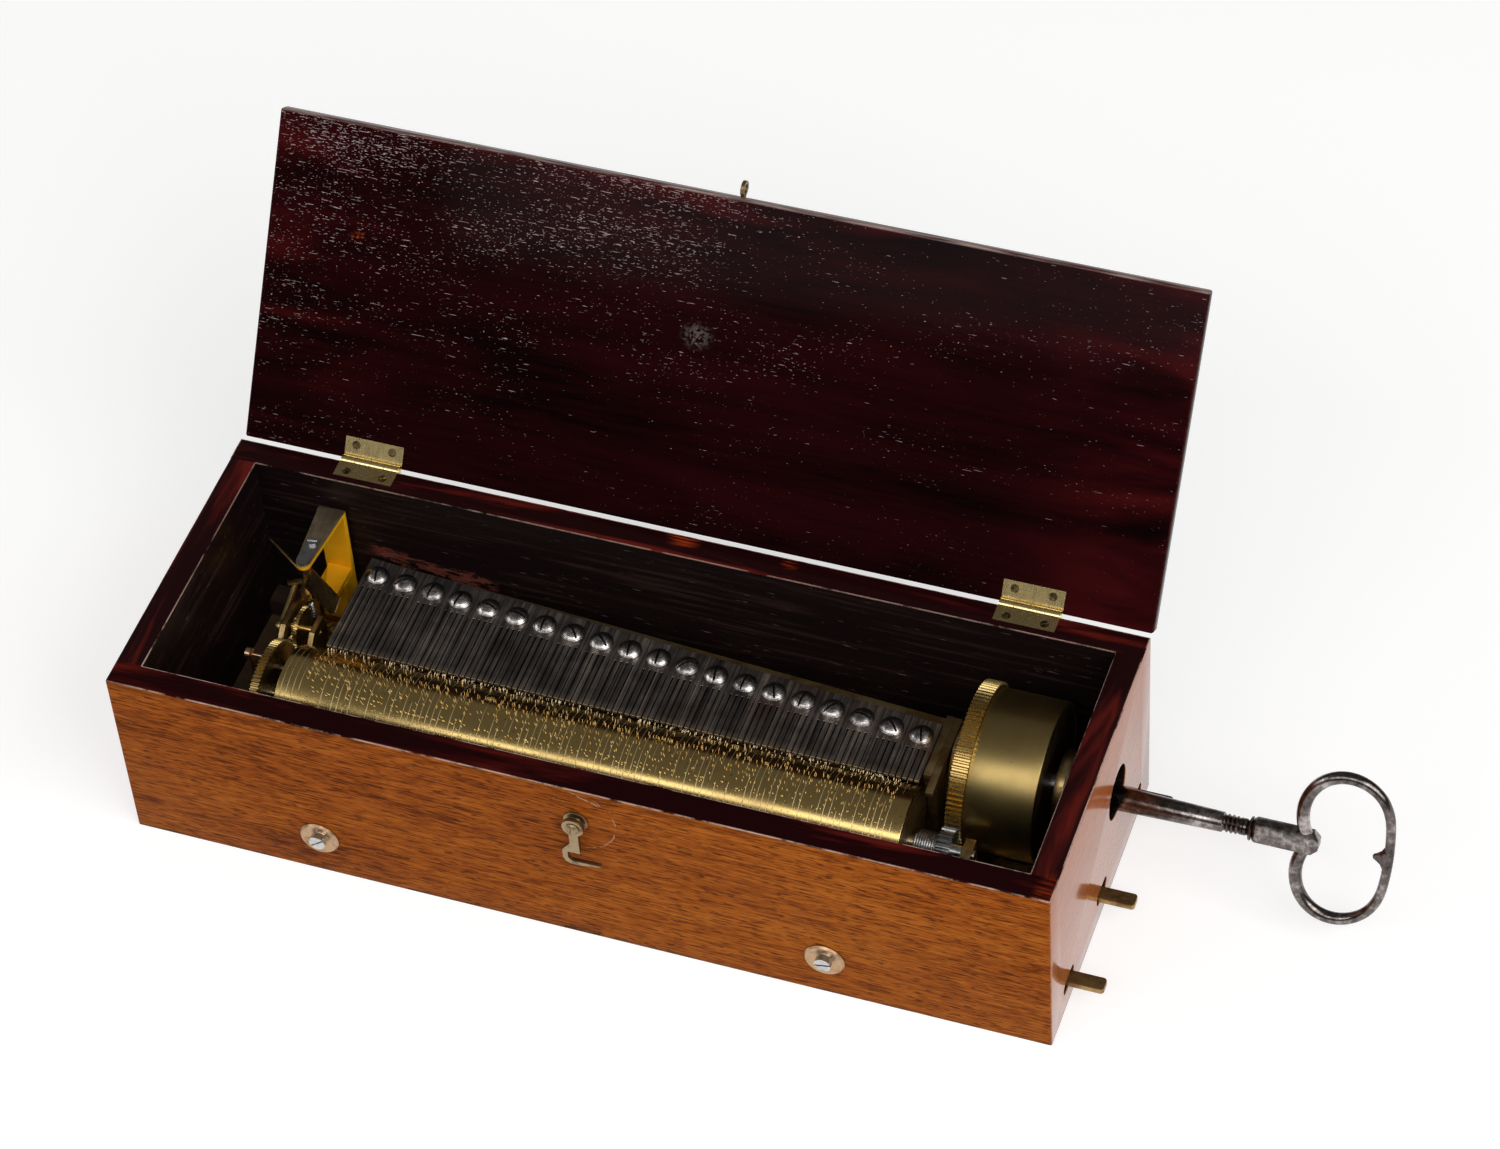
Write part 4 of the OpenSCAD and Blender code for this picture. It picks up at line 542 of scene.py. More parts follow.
# by material slot; scale is the size of the stains, grain the direction of the brushing
metalSet = {
    "aged_brass": {"name": "eyeBrass", "clean": brassTones["dull"], "stain": brassTones["brown"],
                   "rough": 0.32, "scale": 240},
    "hinge_brass": {"name": "hingeBrass", "clean": (1.0, 0.8, 0.38), "stain": (0.66, 0.46, 0.18),
                    "rough": 0.2, "stained": (0.5, 0.8), "grain": (900, 160, 160), "scale": 110,
                    "speck": 0.15},
    "hinge_screw_brass": {"name": "hingeScrewBrass", "clean": (0.4, 0.3, 0.14),
                          "stain": (0.06, 0.04, 0.016), "rough": 0.24, "stained": (0.35, 0.6),
                          "scale": 500},
    "latch_brass": {"name": "latchBrass", "clean": (0.34, 0.25, 0.14),
                    "stain": (0.17, 0.11, 0.06), "rough": 0.26, "scale": 260},
    "washer_brass": {"name": "washerBrass", "clean": (0.50, 0.33, 0.19),
                     "stain": (0.3, 0.17, 0.09), "rough": 0.24, "scale": 220},
    "bright_steel": {"name": "brightSteel", "clean": (0.6, 0.6, 0.6),
                     "stain": (0.36, 0.35, 0.34), "rough": 0.16, "scale": 300, "speck": 0.3},
    "bedplate_brass": {"name": "bedplateBrass", "clean": brassTones["toned"],
                       "stain": brassTones["brown"], "rough": 0.34, "stained": (0.35, 0.65),
                       "grain": (60, 900, 60)},
    "base_brass": {"name": "baseBrass", "clean": (0.42, 0.31, 0.15),
                   "stain": brassTones["brown"], "rough": 0.34, "stained": (0.38, 0.66),
                   "grain": (1200, 60, 60)},
    "lead_weight": {"name": "leadWeight", "clean": (0.16, 0.16, 0.17),
                    "stain": (0.09, 0.09, 0.1), "rough": 0.5},
    "movement_brass": {"name": "movementBrass", "clean": (0.5, 0.36, 0.16),
                       "stain": brassTones["brown"], "rough": 0.28, "stained": (0.42, 0.68),
                       "grain": (120, 900, 120)},
    "screw_steel": {"name": "screwSteel", "clean": (0.45, 0.45, 0.45),
                    "stain": (0.2, 0.19, 0.18), "rough": 0.2, "scale": 400},
    "screw_brass": {"name": "screwBrass", "clean": brassTones["bright"],
                    "stain": brassTones["toned"], "rough": 0.22, "scale": 300},
    "detent_copper": {"name": "detentCopper", "clean": (0.62, 0.38, 0.24),
                      "stain": (0.34, 0.17, 0.09), "rough": 0.22, "scale": 300},
    "cylinder_cap_brass": {"name": "cylinderCapBrass", "clean": brassTones["toned"],
                           "stain": brassTones["brown"], "rough": 0.34,
                           "stained": (0.35, 0.65)},
    "wheel_brass": {"name": "wheelBrass", "clean": (0.6, 0.44, 0.17),
                    "stain": (0.42, 0.29, 0.11), "rough": 0.2, "stained": (0.5, 0.8),
                    "scale": 60, "speck": 0.0},
    "pinion_steel": {"name": "pinionSteel", "clean": (0.42, 0.41, 0.4),
                     "stain": (0.2, 0.19, 0.18), "rough": 0.22, "scale": 300},
    "spring_steel": {"name": "springSteel", "clean": (0.4, 0.4, 0.41),
                     "stain": (0.16, 0.15, 0.15), "rough": 0.24, "scale": 300},
    # painted shade: the barrel's cap is a dark brown for the right wall's shadow on it
    "cap_brass": {"name": "capBrassPaintedShade", "clean": (0.2, 0.13, 0.055), "stain": (0.07, 0.04, 0.017),
                  "rough": 0.36, "stained": (0.3, 0.6)},
    "endstone_steel": {"name": "endstoneSteel", "clean": (0.4, 0.4, 0.4),
                       "stain": (0.22, 0.2, 0.19), "rough": 0.18, "scale": 400},
    "fly_brass": {"name": "flyBrass", "clean": (0.55, 0.39, 0.17), "stain": (0.26, 0.16, 0.07),
                  "rough": 0.2, "scale": 240},
    "lever_brass": {"name": "leverBrass", "clean": (0.42, 0.28, 0.11),
                    "stain": (0.2, 0.11, 0.045), "rough": 0.24, "stained": (0.4, 0.68),
                    "grain": (90, 1200, 1200), "scale": 200},
}


def metalLook(name, clean, stain, rough, stained=(0.45, 0.7), grain=(260, 260, 260), scale=90,
              speck=0.4):
    look = Look(name, Metallic=1.0)
    cloud = look.noise(look.place, scale, detail=5, rough=0.62, bend=0.3).rise(*stained)
    brush = look.noise(look.stretch(grain), detail=3, rough=0.6)
    dirt = look.noise(look.place, scale * 6, detail=3).rise(0.62, 0.76)
    colour = look.mix(cloud, clean, stain)
    colour = look.mix(dirt * speck, colour, tuple(c * 0.3 for c in stain))
    look.bump(brush - dirt * 0.6, 0.000003, 0.6)
    return look.finish(colour, rough + brush * 0.12 + cloud * 0.12 + dirt * 0.1)


cylinderSet = {
    "pitch": 2.0485 * mm,  # from one tooth's track to the next
    "first": -105.9 * mm,
    "clean": (0.66, 0.47, 0.175),
    "stain": (0.42, 0.28, 0.1),
    "line": (0.95, 0.8, 0.48),
    "spot": (0.07, 0.035, 0.015),
}


def cylinderLook():
    s = cylinderSet
    look = Look("cylinderBrass", Metallic=1.0)
    x = look.axes()[0]
    # scribed guide lines, one to a tooth of the comb, broken into dashes round the cylinder
    wave = ((x - s["first"]) * (2 * math.pi / s["pitch"])).sine()
    depth = look.noise(look.stretch((500, 62, 62)), detail=2, rough=0.4)
    line = wave.rise(0.91, 0.98) * depth.rise(0.44, 0.48)
    rings = look.noise(look.stretch((2600, 22, 22)), detail=3, rough=0.6)
    cloud = look.noise(look.stretch((40, 90, 90)), detail=4, rough=0.6).rise(0.42, 0.72)
    spots = look.noise(look.place, 1100, detail=2).rise(0.66, 0.74)
    colour = look.mix(cloud * 0.5, s["clean"], s["stain"])
    colour = look.mix(line * 0.6, colour, s["line"])
    colour = look.mix(spots * 0.8, colour, s["spot"])
    look.bump(rings * 0.3 - line - spots, 0.000006, 0.6)
    return look.finish(colour, 0.15 + rings * 0.08 + cloud * 0.06 + line * 0.3)


drumSet = {"clean": (0.38, 0.275, 0.105), "stain": (0.27, 0.185, 0.07), "spot": (0.12, 0.07, 0.03)}


def drumLook():
    s = drumSet
    look = Look("drumBrass", Metallic=1.0)
    rings = look.noise(look.stretch((2300, 16, 16)), detail=4, rough=0.65)
    cloud = look.noise(look.stretch((60, 60, 60)), detail=4, rough=0.6).rise(0.4, 0.75)
    spots = look.noise(look.place, 1100, detail=2).rise(0.68, 0.78)
    colour = look.mix(cloud * 0.6, s["clean"], s["stain"])
    colour = look.mix(spots * 0.5, colour, s["spot"])
    look.bump(rings - spots * 0.5, 0.000009, 0.8)
    return look.finish(colour, 0.25 + rings * 0.16 + cloud * 0.05)


combSet = {
    "dark": (0.05, 0.046, 0.046),
    "mid": (0.18, 0.16, 0.15),
    "light": (0.5, 0.43, 0.37),
    "stops": (0.38, 0.5, 0.62),
    "blued": (0.05, 0.058, 0.072),
    "brown": (0.24, 0.12, 0.065),
    # paler tooth tips: partly the steel's colour, partly a painted highlight
    "tip": (0.5, 0.4, 0.28),
}


def combLook():
    s = combSet
    look = Look("combSteel", Metallic=1.0)
    x, y = look.axes()[:2]
    ground = look.noise(look.stretch((2200, 30, 400)), detail=3, rough=0.6)  # file marks
    tooth = look.noise(look.stretch((480, 3, 3)), detail=2)  # each tooth a little different
    cloud = look.noise(look.stretch((50, 60, 60)), detail=5, rough=0.65)
    tone = ground * 0.3 + tooth * 0.4 + cloud * 0.3
    colour = look.ramp(tone, *zip(s["stops"], (s["dark"], s["mid"], s["light"])))
    blued = look.noise(look.place, 30, detail=3).rise(0.5, 0.66)
    colour = look.mix(blued * 0.5, colour, s["blued"])
    brown = look.noise(look.place, 45, detail=4).rise(0.48, 0.7) * x.rise(-0.03, 0.09)
    colour = look.mix(brown * 0.6, colour, s["brown"])
    # tooth tips paler and warmer: partly their own colour, partly a painted highlight
    tips = y.rise(0.0, -0.0032)
    colour = look.mix(tips * 0.5, colour, s["tip"])
    look.bump(ground, 0.00001, 0.6)
    return look.finish(colour, 0.3 + ground * 0.14 + cloud * 0.1)


combScrewSet = {
    "first": (-0.101616, 0.029769),  # x and y of the first screw, and on to the next
    "step": (0.0103601, -0.0007904),
    "clean": (0.52, 0.49, 0.47),
    "stain": (0.09, 0.08, 0.075),
    "turned": (0.06, 0.053, 0.05),
    "pit": (0.05, 0.04, 0.035),
}


def combScrewLook():
    s = combScrewSet
    look = Look("combScrewSteel", Metallic=1.0)
    x, y = look.axes()[:2]
    index = ((x - s["first"][0]) / s["step"][0]).whole()
    dx = x - s["first"][0] - index * s["step"][0]
    dy = y - s["first"][1] - index * s["step"][1]
    far = (dx * dx + dy * dy) ** 0.5
    turned = look.add("ShaderNodeTexNoise", {"noise_dimensions": "1D"},
                      {"W": far, "Scale": 2600.0, "Detail": 3.0})  # rings from the lathe
    cloud = look.noise(look.place, 300, detail=5, rough=0.65).rise(0.4, 0.66)
    pits = look.noise(look.place, 1500, detail=3).rise(0.6, 0.72)
    colour = look.mix(cloud, s["clean"], s["stain"])
    colour = look.mix(turned.rise(0.48, 0.6) * 0.8, colour, s["turned"])
    colour = look.mix(pits * 0.6, colour, s["pit"])
    look.bump(turned + pits * -0.5, 0.00002, 0.8)
    return look.finish(colour, 0.18 + turned * 0.16 + cloud * 0.1)


keySteelSet = {
    "dark": (0.055, 0.045, 0.042),
    "mid": (0.16, 0.138, 0.128),
    "light": (0.5, 0.455, 0.44),
    "stops": (0.38, 0.5, 0.62),
    "pit": (0.03, 0.022, 0.018),
}


def keyLook():
    s = keySteelSet
    look = Look("keySteel", Metallic=1.0)
    cloud = look.noise(look.place, 70, detail=5, rough=0.6)
    rusty = look.noise(look.place, 200, detail=3).rise(0.5, 0.6)
    pits = look.cells(look.place, 1300).rise(0.34, 0.14) * rusty
    grime = look.noise(look.place, 420, detail=5, rough=0.7)
    tone = cloud * 0.55 + grime * 0.45
    colour = look.ramp(tone, *zip(s["stops"], (s["dark"], s["mid"], s["light"])))
    colour = look.mix(pits * 0.6, colour, s["pit"])
    look.bump(grime * 0.3 - pits, 0.00002, 0.5)
    return look.finish(colour, 0.14 + grime * 0.14 + pits * 0.2)


cockSet = {
    "specular": 0.1,
    # below the top: a bright saturated orange, a painted reflection
    "inner": ((1.0, 0.5, 0.012), (0.95, 0.38, 0.008)),
    "outer": ((0.5, 0.39, 0.25), (0.25, 0.19, 0.13)),
    "top": (0.0614, 0.0618),  # height at which the toned upper face starts
}


def cockLook():
    s = cockSet
    look = Look("cockBrass", SpecularIORLevel=s["specular"])
    z = look.axes()[2]
    cloud = look.noise(look.place, 110, detail=5, rough=0.6).rise(0.4, 0.7)
    brush = look.noise(look.stretch((900, 60, 900)), detail=3)
    # painted reflection: the faces below the top are a saturated orange
    inner = look.mix(cloud * 0.5, *s["inner"])
    outer = look.mix(cloud, *s["outer"])
    top = z.rise(*s["top"])
    colour = look.mix(top, inner, outer)
    look.bump(brush, 0.000004, 0.6)
    rough = 0.34 + brush * 0.14 + cloud * 0.08
    return look.finish(colour, rough, Metallic=top * 0.75 + 0.25)


def makeLooks():
    looks = {slot: metalLook(**values) for slot, values in metalSet.items()}
    looks.update({slot: plainWoodLook(**values) for slot, values in plainWoodSet.items()})
    looks.update({
        "walnut_veneer": frontBoardLook(),
        "end_board": endBoardLook(),
        "lid_mahogany": lidLook(),
        "comb_steel": combLook(),
        "comb_screw_steel": combScrewLook(),
        "cylinder_brass": cylinderLook(),
        "drum_brass": drumLook(),
        "cock_brass": cockLook(),
        "key_steel": keyLook(),
    })
    return looks


def dressSolids(looks):
    for node, slot in slotOf.items():
        nodes[node].data.materials.clear()
        nodes[node].data.materials.append(looks[slot])


# how a solid's loose triangles are joined up again
weldSet = {"gap": 0.002 * mm, "flat": 0.6}


def copyOf(node):
    mesh = bmesh.new()
    mesh.from_mesh(nodes[node].data)
    bmesh.ops.remove_doubles(mesh, verts=mesh.verts, dist=weldSet["gap"])
    bmesh.ops.dissolve_limit(mesh, angle_limit=math.radians(weldSet["flat"]), verts=mesh.verts,
                             edges=mesh.edges, delimit=set())
    return mesh


def ease(mesh, width, chosen, segments=2):
    edges = [e for e in mesh.edges if len(e.link_faces) == 2 and chosen(e)]
    bmesh.ops.bevel(mesh, geom=edges, offset=width, offset_type="OFFSET", segments=segments,
                    profile=0.5, affect="EDGES", clamp_overlap=True, material=-1)


def corner(degrees):
    least = math.radians(degrees)
    return lambda e: e.calc_face_angle(0) > least


def close(mesh):  # merge what meets, then turn every face outwards
    bmesh.ops.remove_doubles(mesh, verts=mesh.verts, dist=0.001 * mm)
    bmesh.ops.recalc_face_normals(mesh, faces=mesh.faces)


def makePiece(name, mesh, material, smooth=24):
    data = bpy.data.meshes.new(name)
    mesh.to_mesh(data)
    mesh.free()
    for layer in ("custom_normal", "normal"):
        if layer in data.attributes:
            data.attributes.remove(data.attributes[layer])
    data.materials.clear()
    data.materials.append(material)
    for face in data.polygons:
        face.material_index = 0
    data.shade_smooth()
    data.set_sharp_from_angle(angle=math.radians(smooth))
    piece = bpy.data.objects.new(name, data)
    bpy.context.scene.collection.objects.link(piece)
    return piece


def stand(piece, node):  # in the place of a solid
    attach(piece, bodyOf[node])
    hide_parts(node)


def ridden(piece, body):  # added to a body
    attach(piece, body)


boardSet = {
    "outerRound": 0.7 * mm,
    "innerRound": 0.35 * mm,
    "snap": 0.02 * mm,
    "shortEdge": 5 * mm,  # edges shorter than this stay sharp
    "veneer": 0.5 * mm,
    "facing": 0.6,
}


def makeBoard(name, node, material, endMaterial):
    s = boardSet
    length, depth, height = woodSet["halfLength"], woodSet["halfDepth"], woodSet["rimHeight"]
    alongX = node in ("case_front", "case_back")
    mesh = copyOf(node)

    def lies(e, axis, limit):
        return all(abs(abs(v.co[axis]) - limit) < s["snap"] for v in e.verts)

    def outside(e):
        a, b = e.verts
        atX = lies(e, 0, length) and a.co.x * b.co.x > 0
        atY = lies(e, 1, depth)
        level = lies(e, 2, height) or lies(e, 2, 0)
        long = e.calc_length() > s["shortEdge"]
        return (atX and atY) or (level and (atX or atY) and long)

    def inside(e):
        axis, limit = (1, depth - woodSet["wall"]) if alongX else (0, length - woodSet["wall"])
        return lies(e, 2, height) and lies(e, axis, limit)

    ease(mesh, s["outerRound"], outside, 3)
    ease(mesh, s["innerRound"], inside, 2)
    piece = makePiece(name, mesh, material)
    piece.data.materials.append(endMaterial)
    for face in piece.data.polygons:  # the end veneer runs over the ends of the long boards
        if abs(face.normal.x) > s["facing"] and abs(face.center.x) > length - s["veneer"]:
            face.material_index = 1
    stand(piece, node)


def makeLid(s, material):
    mesh = copyOf("lid")
    shift = Matrix.Translation(s["hinge"])
    shut = shift @ Matrix.Rotation(math.radians(s["openAngle"]), 4, "X") @ shift.inverted()
    bmesh.ops.transform(mesh, matrix=shut, verts=mesh.verts)
    box = [(min(v.co[i] for v in mesh.verts), max(v.co[i] for v in mesh.verts)) for i in range(3)]

    def edge(e):  # at two of the board's limits, apart from the recessed bottom at the back
        at = [[abs(v.co[i] - limit) < s["snap"] * mm for i in range(3) for limit in box[i]]
              for v in e.verts]
        both = [p and q for p, q in zip(*at)]
        return sum(both) >= 2 and not (both[3] and both[4])

    ease(mesh, s["round"] * mm, edge, 3)
    bmesh.ops.transform(mesh, matrix=shut.inverted(), verts=mesh.verts)
    stand(makePiece("lidBoard", mesh, material), "lid")


# piece name: solid, rounding of its corners in mm, least corner in degrees
workedSet = {
    "latchHook": ("latch_hook", 0.3, 50),
    "latchPlate": ("latch_plate", 0.2, 50),
    "lidEye": ("lid_eye", 0.2, 50),
    "governorCock": ("governor_cock", 0.22, 50),
    "governorFrame": ("governor_frame", 0.18, 50),
    "leftBearing": ("cylinder_left_bearing", 0.25, 50),
    "rightBearing": ("cylinder_right_bearing", 0.25, 50),
    "leftBridge": ("barrel_left_bridge", 0.25, 50),
    "rightBridge": ("barrel_right_bridge", 0.25, 50),
    "combBase": ("comb_base", 0.3, 50),
    "combSupports": ("comb_supports", 0.25, 50),
    "frontLever": ("control_lever_front", 0.3, 60),
    "middleLever": ("control_lever_middle", 0.3, 60),
    "backLever": ("control_lever_back", 0.3, 60),
    "bedplatePlate": ("bedplate", 0.25, 60),
    "stopArm": ("stop_arm", 0.12, 50),
    "drumShell": ("barrel_drum", 0.3, 60),
    "cylinderShell": ("cylinder_tube", 0.2, 60),
    "combTeeth": ("comb_sections", 0.09, 60),
    "combScrewHeads": ("comb_screws", 0.14, 40),
}


def makeWorked(looks):
    for name, (node, width, angle) in workedSet.items():
        mesh = copyOf(node)
        ease(mesh, width * mm, corner(angle), 1 if width < 0.1 else 2)
        piece = makePiece(name, mesh, looks[slotOf[node]])
        if name == "combScrewHeads":
            darkenSlots(slotSet, piece)
        stand(piece, node)


slotSet = {
    "depth": 1.35,
    "spread": 0.15,  # how far in mm a face may be off the slot's floor
    # a near-black steel: painted shade in the slots
    "look": {"name": "slotPaintedShade", "clean": (0.05, 0.046, 0.044), "stain": (0.012, 0.01, 0.01),
             "rough": 0.45, "scale": 400},
}


def darkenSlots(s, piece):  # painted shade: the slots of the comb screws get a dark material on their floors and walls
    piece.data.materials.append(metalLook(**s["look"]))
    floor = max(v.co.z for v in piece.data.vertices) - s["depth"] * mm
    for face in piece.data.polygons:
        height = face.center.z
        flat = face.normal.z > 0.95 and abs(height - floor) < s["spread"] * mm
        upright = abs(face.normal.z) < 0.1
        if flat or (upright and height > floor):
            face.material_index = 1


springSet = {"wire": 0.5, "turns": 8.5, "stepsPerTurn": 18, "sides": 8}


def makeSpring(s, material):
    low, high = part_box("cylinder_spring")
    centre = (low + high) / 2
    wire = s["wire"] * mm
    meanRadius = (high.z - low.z) / 2 - wire
    steps = int(s["stepsPerTurn"] * s["turns"])
    run = high.x - low.x - 2 * s["wire"] * mm
    start = Matrix.Translation((low.x + wire, centre.y, centre.z + meanRadius))
    mesh = bmesh.new()
    bmesh.ops.create_circle(mesh, segments=s["sides"], radius=wire)
    bmesh.ops.transform(mesh, matrix=start @ Matrix.Rotation(math.radians(90), 4, "X"),
                        verts=mesh.verts)
    bmesh.ops.spin(mesh, geom=mesh.verts[:] + mesh.edges[:], angle=2 * math.pi * s["turns"],
                   steps=steps, axis=(1, 0, 0), cent=centre, dvec=(run / steps, 0, 0),
                   use_duplicate=False)
    bmesh.ops.holes_fill(mesh, edges=[e for e in mesh.edges if e.is_boundary])
    bmesh.ops.recalc_face_normals(mesh, faces=mesh.faces)
    stand(makePiece("returnSpring", mesh, material, 60), "cylinder_spring")


# lengths in mm, along the key from its mouth or from the middle of its bow
keySet = {
    "axis": (0.018052, 0.038),  # y and z of the key's own axis, in metres
    "lean": 16,
    "mouth": 149.8,
    "shank": ((0.0, 3.7), (0.0, 4.15), (0.4, 4.35), (45.5, 3.35), (46.0, 2.75), (46.3, 2.55),
              (46.7, 2.8), (47.1, 3.15), (47.5, 2.8), (47.8, 2.5), (48.2, 2.85), (48.6, 3.2),
              (49.0, 2.85), (49.3, 2.5), (49.7, 2.8), (50.1, 3.1), (50.5, 2.75), (50.8, 2.5),
              (51.2, 2.8), (52.0, 2.85), (52.2, 2.65), (52.4, 2.85), (53.3, 2.8), (53.7, 2.35),
              (54.1, 3.1), (54.4, 3.9), (54.9, 4.1), (55.2, 3.7)),
    "bore": 3.7,
    "boreDepth": 10.4,
    "block": (204.9, 227.0, 4.7, 7.5),  # start, end, thickness, height
    "blockClip": 2.2,  # off its far end, then the rounding of its near end and its edges
    "blockRoot": 1.3,
    "blockEdge": 0.35,
    "bowMiddle": 234.8,
    "lobe": (10.7, 14.5, 16.9),  # how far off the axis, half width, half height
    "lobeShift": 0.3,
    "lobeAngles": (216, 20, -12),  # from, to and step, in degrees round one lobe
    "wire": 2.1,
    "thinner": 0.42,  # of the wire's radius on the far side, and thicker on the near side
    "thicker": 0.1,
    "farSide": ((14.15, 15.5, 1.66), (14.7, 8.0, 1.6), (14.85, 0.0, 1.66), (14.7, -8.0, 1.6),
                (14.15, -15.5, 1.66)),  # along, across, radius
    "bent": 1.5,  # how far the lower lobe has been pushed in
    "bentReach": 28,
    "bentCurve": 1.4,
    "upperShare": 0.3,
    "cusp": ((0, 0), (0, 5.2), (1.5, 4.4), (2.4, 2.7), (3.6, 1.7), (4.6, 1.1), (5.0, 0.5),
             (5.1, 0)),
    "cuspAt": 14.6,
    "cuspFlat": 0.34,
}


def spunMesh(outline, steps, y, z):  # (x, radius) in mm, turned round the line along x at y, z
    mesh = bmesh.new()
    points = [mesh.verts.new((along * mm, y, z + radius * mm)) for along, radius in outline]
    edges = [mesh.edges.new(pair) for pair in zip(points, points[1:])]
    bmesh.ops.spin(mesh, geom=points + edges, angle=2 * math.pi, steps=steps, axis=(1, 0, 0),
                   cent=(0, y, z), use_merge=True)
    close(mesh)
    return mesh


def keyPipe(s):  # hollow at the mouth, with a ringed collar
    outline = [(s["boreDepth"], 0), (s["boreDepth"], s["bore"]), *s["shank"],
               (s["shank"][-1][0], 0)]
    return spunMesh([(s["mouth"] + along, radius) for along, radius in outline], 40, *s["axis"])


def keyBlock(s, place):  # between the collar and the bow, its far end clipped
    start, end, thick, high = s["block"]
    mesh = bmesh.new()
    bmesh.ops.create_cube(mesh, size=1)
    bmesh.ops.scale(mesh, vec=((end - start) * mm, thick * mm, high * mm), verts=mesh.verts)

    def farCorner(e):
        a, b = e.verts
        return a.co.x > 0 and b.co.x > 0 and abs(a.co.y - b.co.y) > mm

    ease(mesh, s["blockClip"] * mm, farCorner, 1)
    ease(mesh, s["blockRoot"] * mm, lambda e: all(v.co.x < 0 for v in e.verts), 2)
    ease(mesh, s["blockEdge"] * mm, corner(30), 2)
    bmesh.ops.translate(mesh, vec=((start + end) / 2 * mm, 0, 0), verts=mesh.verts)
    bmesh.ops.transform(mesh, matrix=place, verts=mesh.verts)
    return mesh


def keyBow(s, place):  # a round wire bent into two lobes that meet at the block
    off, wide, tall = s["lobe"]
    lobe = []
    for degrees in range(*s["lobeAngles"]):
        a = math.radians(degrees)
        far = math.cos(a)
        radius = s["wire"] - s["thinner"] * max(0, far) + s["thicker"] * max(0, -far)
        lobe.append((s["lobeShift"] + wide * far, off + tall * math.sin(a), radius))
    lobe.pop()
    way = lobe + list(s["farSide"]) + [(u, -w, r) for u, w, r in reversed(lobe)]

    def pushedIn(w):
        share = s["upperShare"] if w > 0 else 1
        return s["bent"] * (abs(w) / s["bentReach"]) ** s["bentCurve"] * share

    way = [(u - pushedIn(w), w, r) for u, w, r in way]
    curve = bpy.data.curves.new("bow", "CURVE")
    curve.dimensions = "3D"
    curve.bevel_depth = mm  # so a point's radius is in mm
    curve.bevel_resolution = 5
    curve.use_fill_caps = True
    curve.resolution_u = 6
    spline = curve.splines.new("NURBS")
    spline.points.add(len(way) - 1)
    spline.order_u = 4
    spline.use_endpoint_u = True
    for point, (u, w, r) in zip(spline.points, way):
        point.co = (*(place @ Vector(((s["bowMiddle"] + u) * mm, 0, w * mm))), 1)
        point.radius = r
    holder = bpy.data.objects.new("bowPath", curve)
    mesh = bmesh.new()
    mesh.from_mesh(bpy.data.meshes.new_from_object(holder))
    bpy.data.objects.remove(holder)
    close(mesh)
    return mesh


def keyCusp(s, place):  # on the far side of the bow, pointing inward
    start = s["bowMiddle"] + s["cuspAt"]
    mesh = spunMesh([(start - along, radius) for along, radius in s["cusp"]], 20, 0, 0)
    bmesh.ops.scale(mesh, vec=(1, s["cuspFlat"], 1), verts=mesh.verts)
    bmesh.ops.transform(mesh, matrix=place, verts=mesh.verts)
    return mesh


def makeKey(s, material):
    y, z = s["axis"]
    place = Matrix.Translation((0, y, z)) @ Matrix.Rotation(math.radians(-s["lean"]), 4, "X")
    stand(makePiece("keyPipe", keyPipe(s), material, 40), "winding_key")
    ridden(makePiece("keyBlock", keyBlock(s, place), material, 30), "key")
    ridden(makePiece("keyBow", keyBow(s, place), material, 50), "key")
    ridden(makePiece("keyCusp", keyCusp(s, place), material, 50), "key")


pinSet = {
    "tracks": 99,
    "tunes": 4,
    "tuneStep": 0.42,
    "firstTune": 1.5,  # steps from the scribed line back to the first tune
    "beats": 170,
    "perTrack": (8, 13),
    "sway": 0.4,  # degrees off the beat
    "sides": 5,
    "radius": 0.13,
    "taper": 0.8,
    "height": 0.75,
    "sunk": 0.2,
    "seed": 11,
    "look": {"name": "pinSteel", "clean": (0.98, 0.82, 0.56), "stain": (0.5, 0.34, 0.17),
             "rough": 0.3, "scale": 700, "speck": 0.1},
}


def makePins(s):
    pick = random.Random(s["seed"])
    low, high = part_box("cylinder_tube")
    axis = Vector((0, (low.y + high.y) / 2, (low.z + high.z) / 2))
    radius = (high.z - low.z) / 2
    pin = bmesh.new()
    bmesh.ops.create_cone(pin, segments=s["sides"], cap_ends=True, radius1=s["radius"] * mm,
                          radius2=s["radius"] * s["taper"] * mm,
                          depth=(s["height"] + s["sunk"]) * mm)
    middle = radius + (s["height"] - s["sunk"]) / 2 * mm
    bmesh.ops.translate(pin, vec=(0, 0, middle), verts=pin.verts)
    corners = len(pin.verts)
    master = bpy.data.meshes.new("pin")
    pin.to_mesh(master)
    pin.free()
    beats = [pick.uniform(0, 360) for n in range(s["beats"])]
    pins, track = bmesh.new(), bpy.data.meshes.new("track")
    for n in range(s["tracks"] * s["tunes"]):
        line, tune = divmod(n, s["tunes"])
        x = cylinderSet["first"] + line * cylinderSet["pitch"]
        x = x + (tune - s["firstTune"]) * s["tuneStep"] * mm
        place = Matrix.Translation(axis + Vector((x, 0, 0)))
        row = bmesh.new()
        for angle in pick.sample(beats, pick.randint(*s["perTrack"])):
            row.from_mesh(master)
            turn = math.radians(angle + pick.uniform(-s["sway"], s["sway"]))
            bmesh.ops.transform(row, matrix=place @ Matrix.Rotation(turn, 4, "X"),
                                verts=row.verts[-corners:])
        row.to_mesh(track)
        row.free()
        pins.from_mesh(track)
    piece = makePiece("cylinderPins", pins, metalLook(**s["look"]), 50)
    ridden(piece, "cylinder")
    return len(piece.data.vertices) // corners


floorSet = {"size": 9.0, "paint": (0.5, 0.497, 0.494), "glow": 0.645}


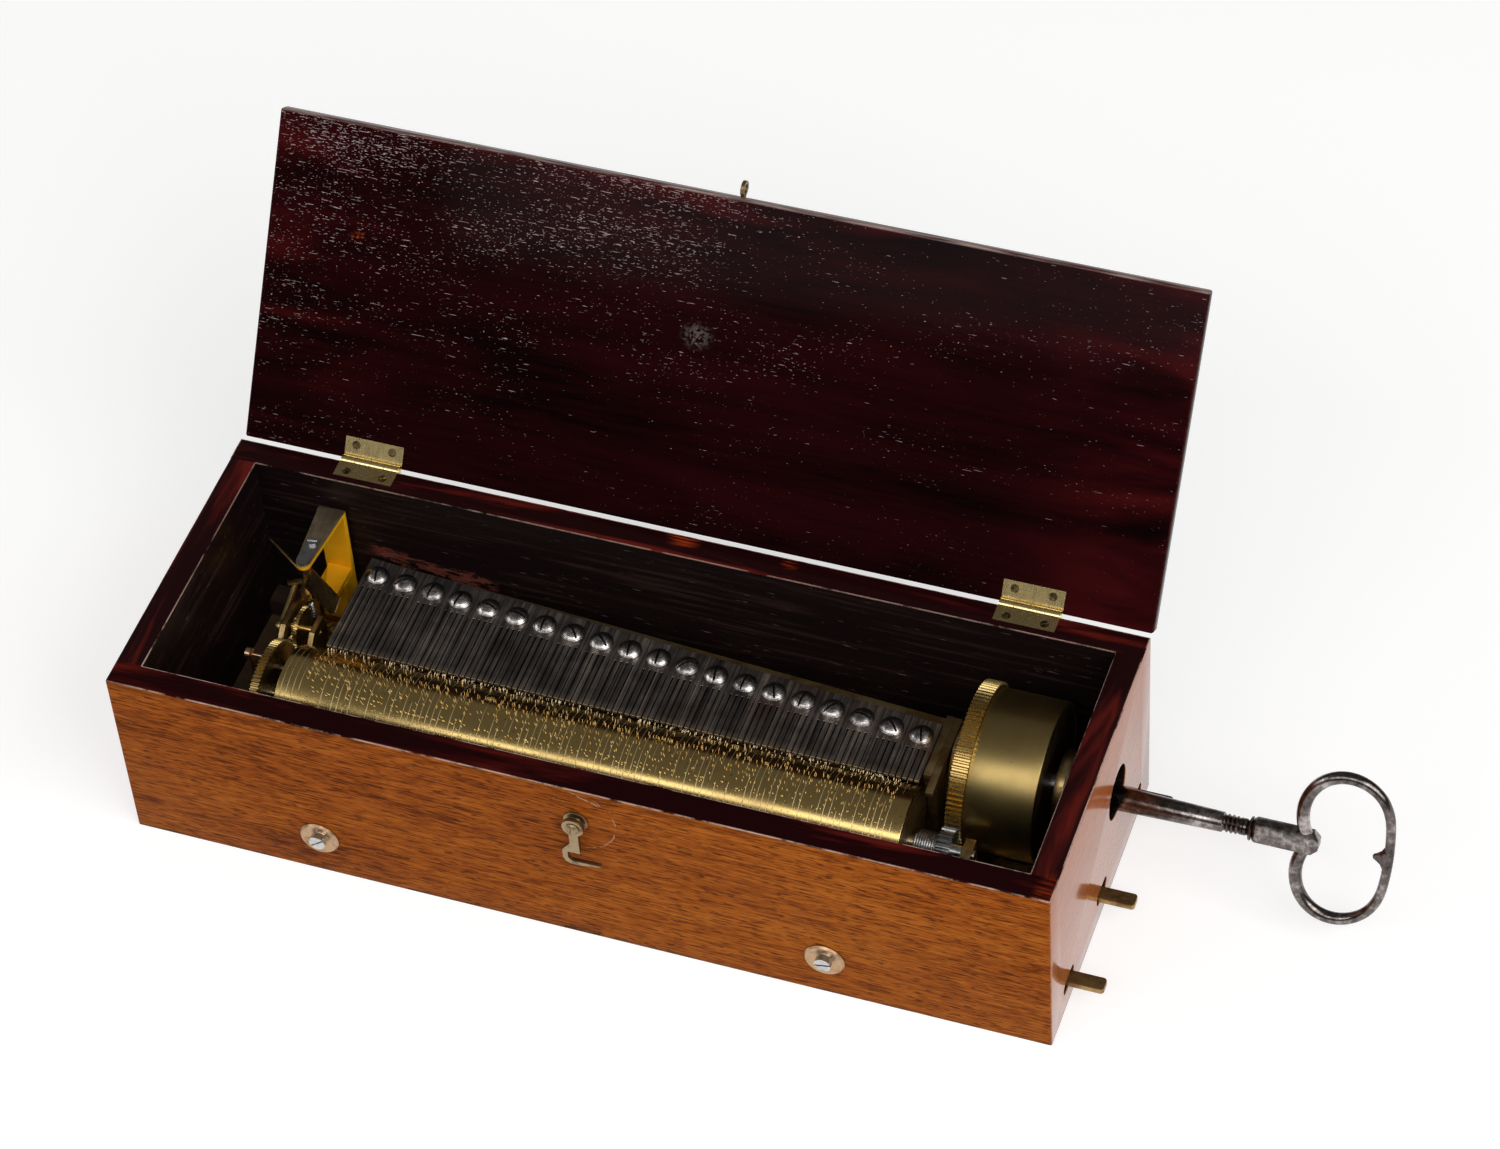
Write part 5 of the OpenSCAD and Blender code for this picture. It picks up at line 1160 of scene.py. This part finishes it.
def makeFloor(s):
    mesh = bmesh.new()
    bmesh.ops.create_grid(mesh, x_segments=1, y_segments=1, size=s["size"])
    look = Look("floorPaint", Roughness=1.0, SpecularIORLevel=0.0, BaseColor=s["paint"],
                EmissionStrength=1.0)
    path = look.add("ShaderNodeLightPath").socket.node
    seen = Number(look, path.outputs["Is Camera Ray"])
    for ray in ("Is Glossy Ray", "Is Transmission Ray"):
        seen = seen.most(Number(look, path.outputs[ray]))
    glow = look.mix(seen, (0, 0, 0), (s["glow"],) * 3)
    makePiece("floor", mesh, look.finish(EmissionColor=glow))


# what the camera sees behind the floor, and the soft shade that lights the object
worldSet = {
    "backdrop": {"Color": (1, 1, 1, 1), "Strength": 1.0},
    "shade": {"Color": (1, 0.97, 0.93, 1), "Strength": 0.12},
}


def makeWorld(s):
    world = bpy.data.worlds.new("studio")
    bpy.context.scene.world = world
    world.use_nodes = True
    tree = world.node_tree
    tree.nodes.clear()
    output = tree.nodes.new("ShaderNodeOutputWorld")
    path = tree.nodes.new("ShaderNodeLightPath")
    choose = tree.nodes.new("ShaderNodeMixShader")
    tree.links.new(path.outputs["Is Camera Ray"], choose.inputs[0])
    for place, name in enumerate(("shade", "backdrop"), 1):
        light = tree.nodes.new("ShaderNodeBackground")
        for key, value in s[name].items():
            light.inputs[key].default_value = value
        tree.links.new(light.outputs[0], choose.inputs[place])
    tree.links.new(choose.outputs[0], output.inputs[0])


makeCamera(cameraSet)
for lampName, lampValues in lampSet.items():
    makeLamp(lampName, lampValues)
makeFloor(floorSet)
makeWorld(worldSet)
print("camera, lamps and floor placed")

looks = makeLooks()
dressSolids(looks)
print("materials made:", len(looks))

endLook = looks["end_board"]
makeBoard("frontBoard", "case_front", looks["walnut_veneer"], endLook)
makeBoard("backBoard", "case_back", backBoardLook(), endLook)
makeBoard("leftEnd", "case_left_end", endLook, endLook)
makeBoard("rightEnd", "case_right_end", endLook, endLook)
makeLid(lidSet, looks["lid_mahogany"])
print("case and lid shaped")

makeWorked(looks)
print("metal pieces eased")

makeSpring(springSet, looks["spring_steel"])
makeKey(keySet, looks["key_steel"])
print("spring and key made")

print("pins set:", makePins(pinSet))

bpy.context.scene.view_settings.view_transform = "Standard"
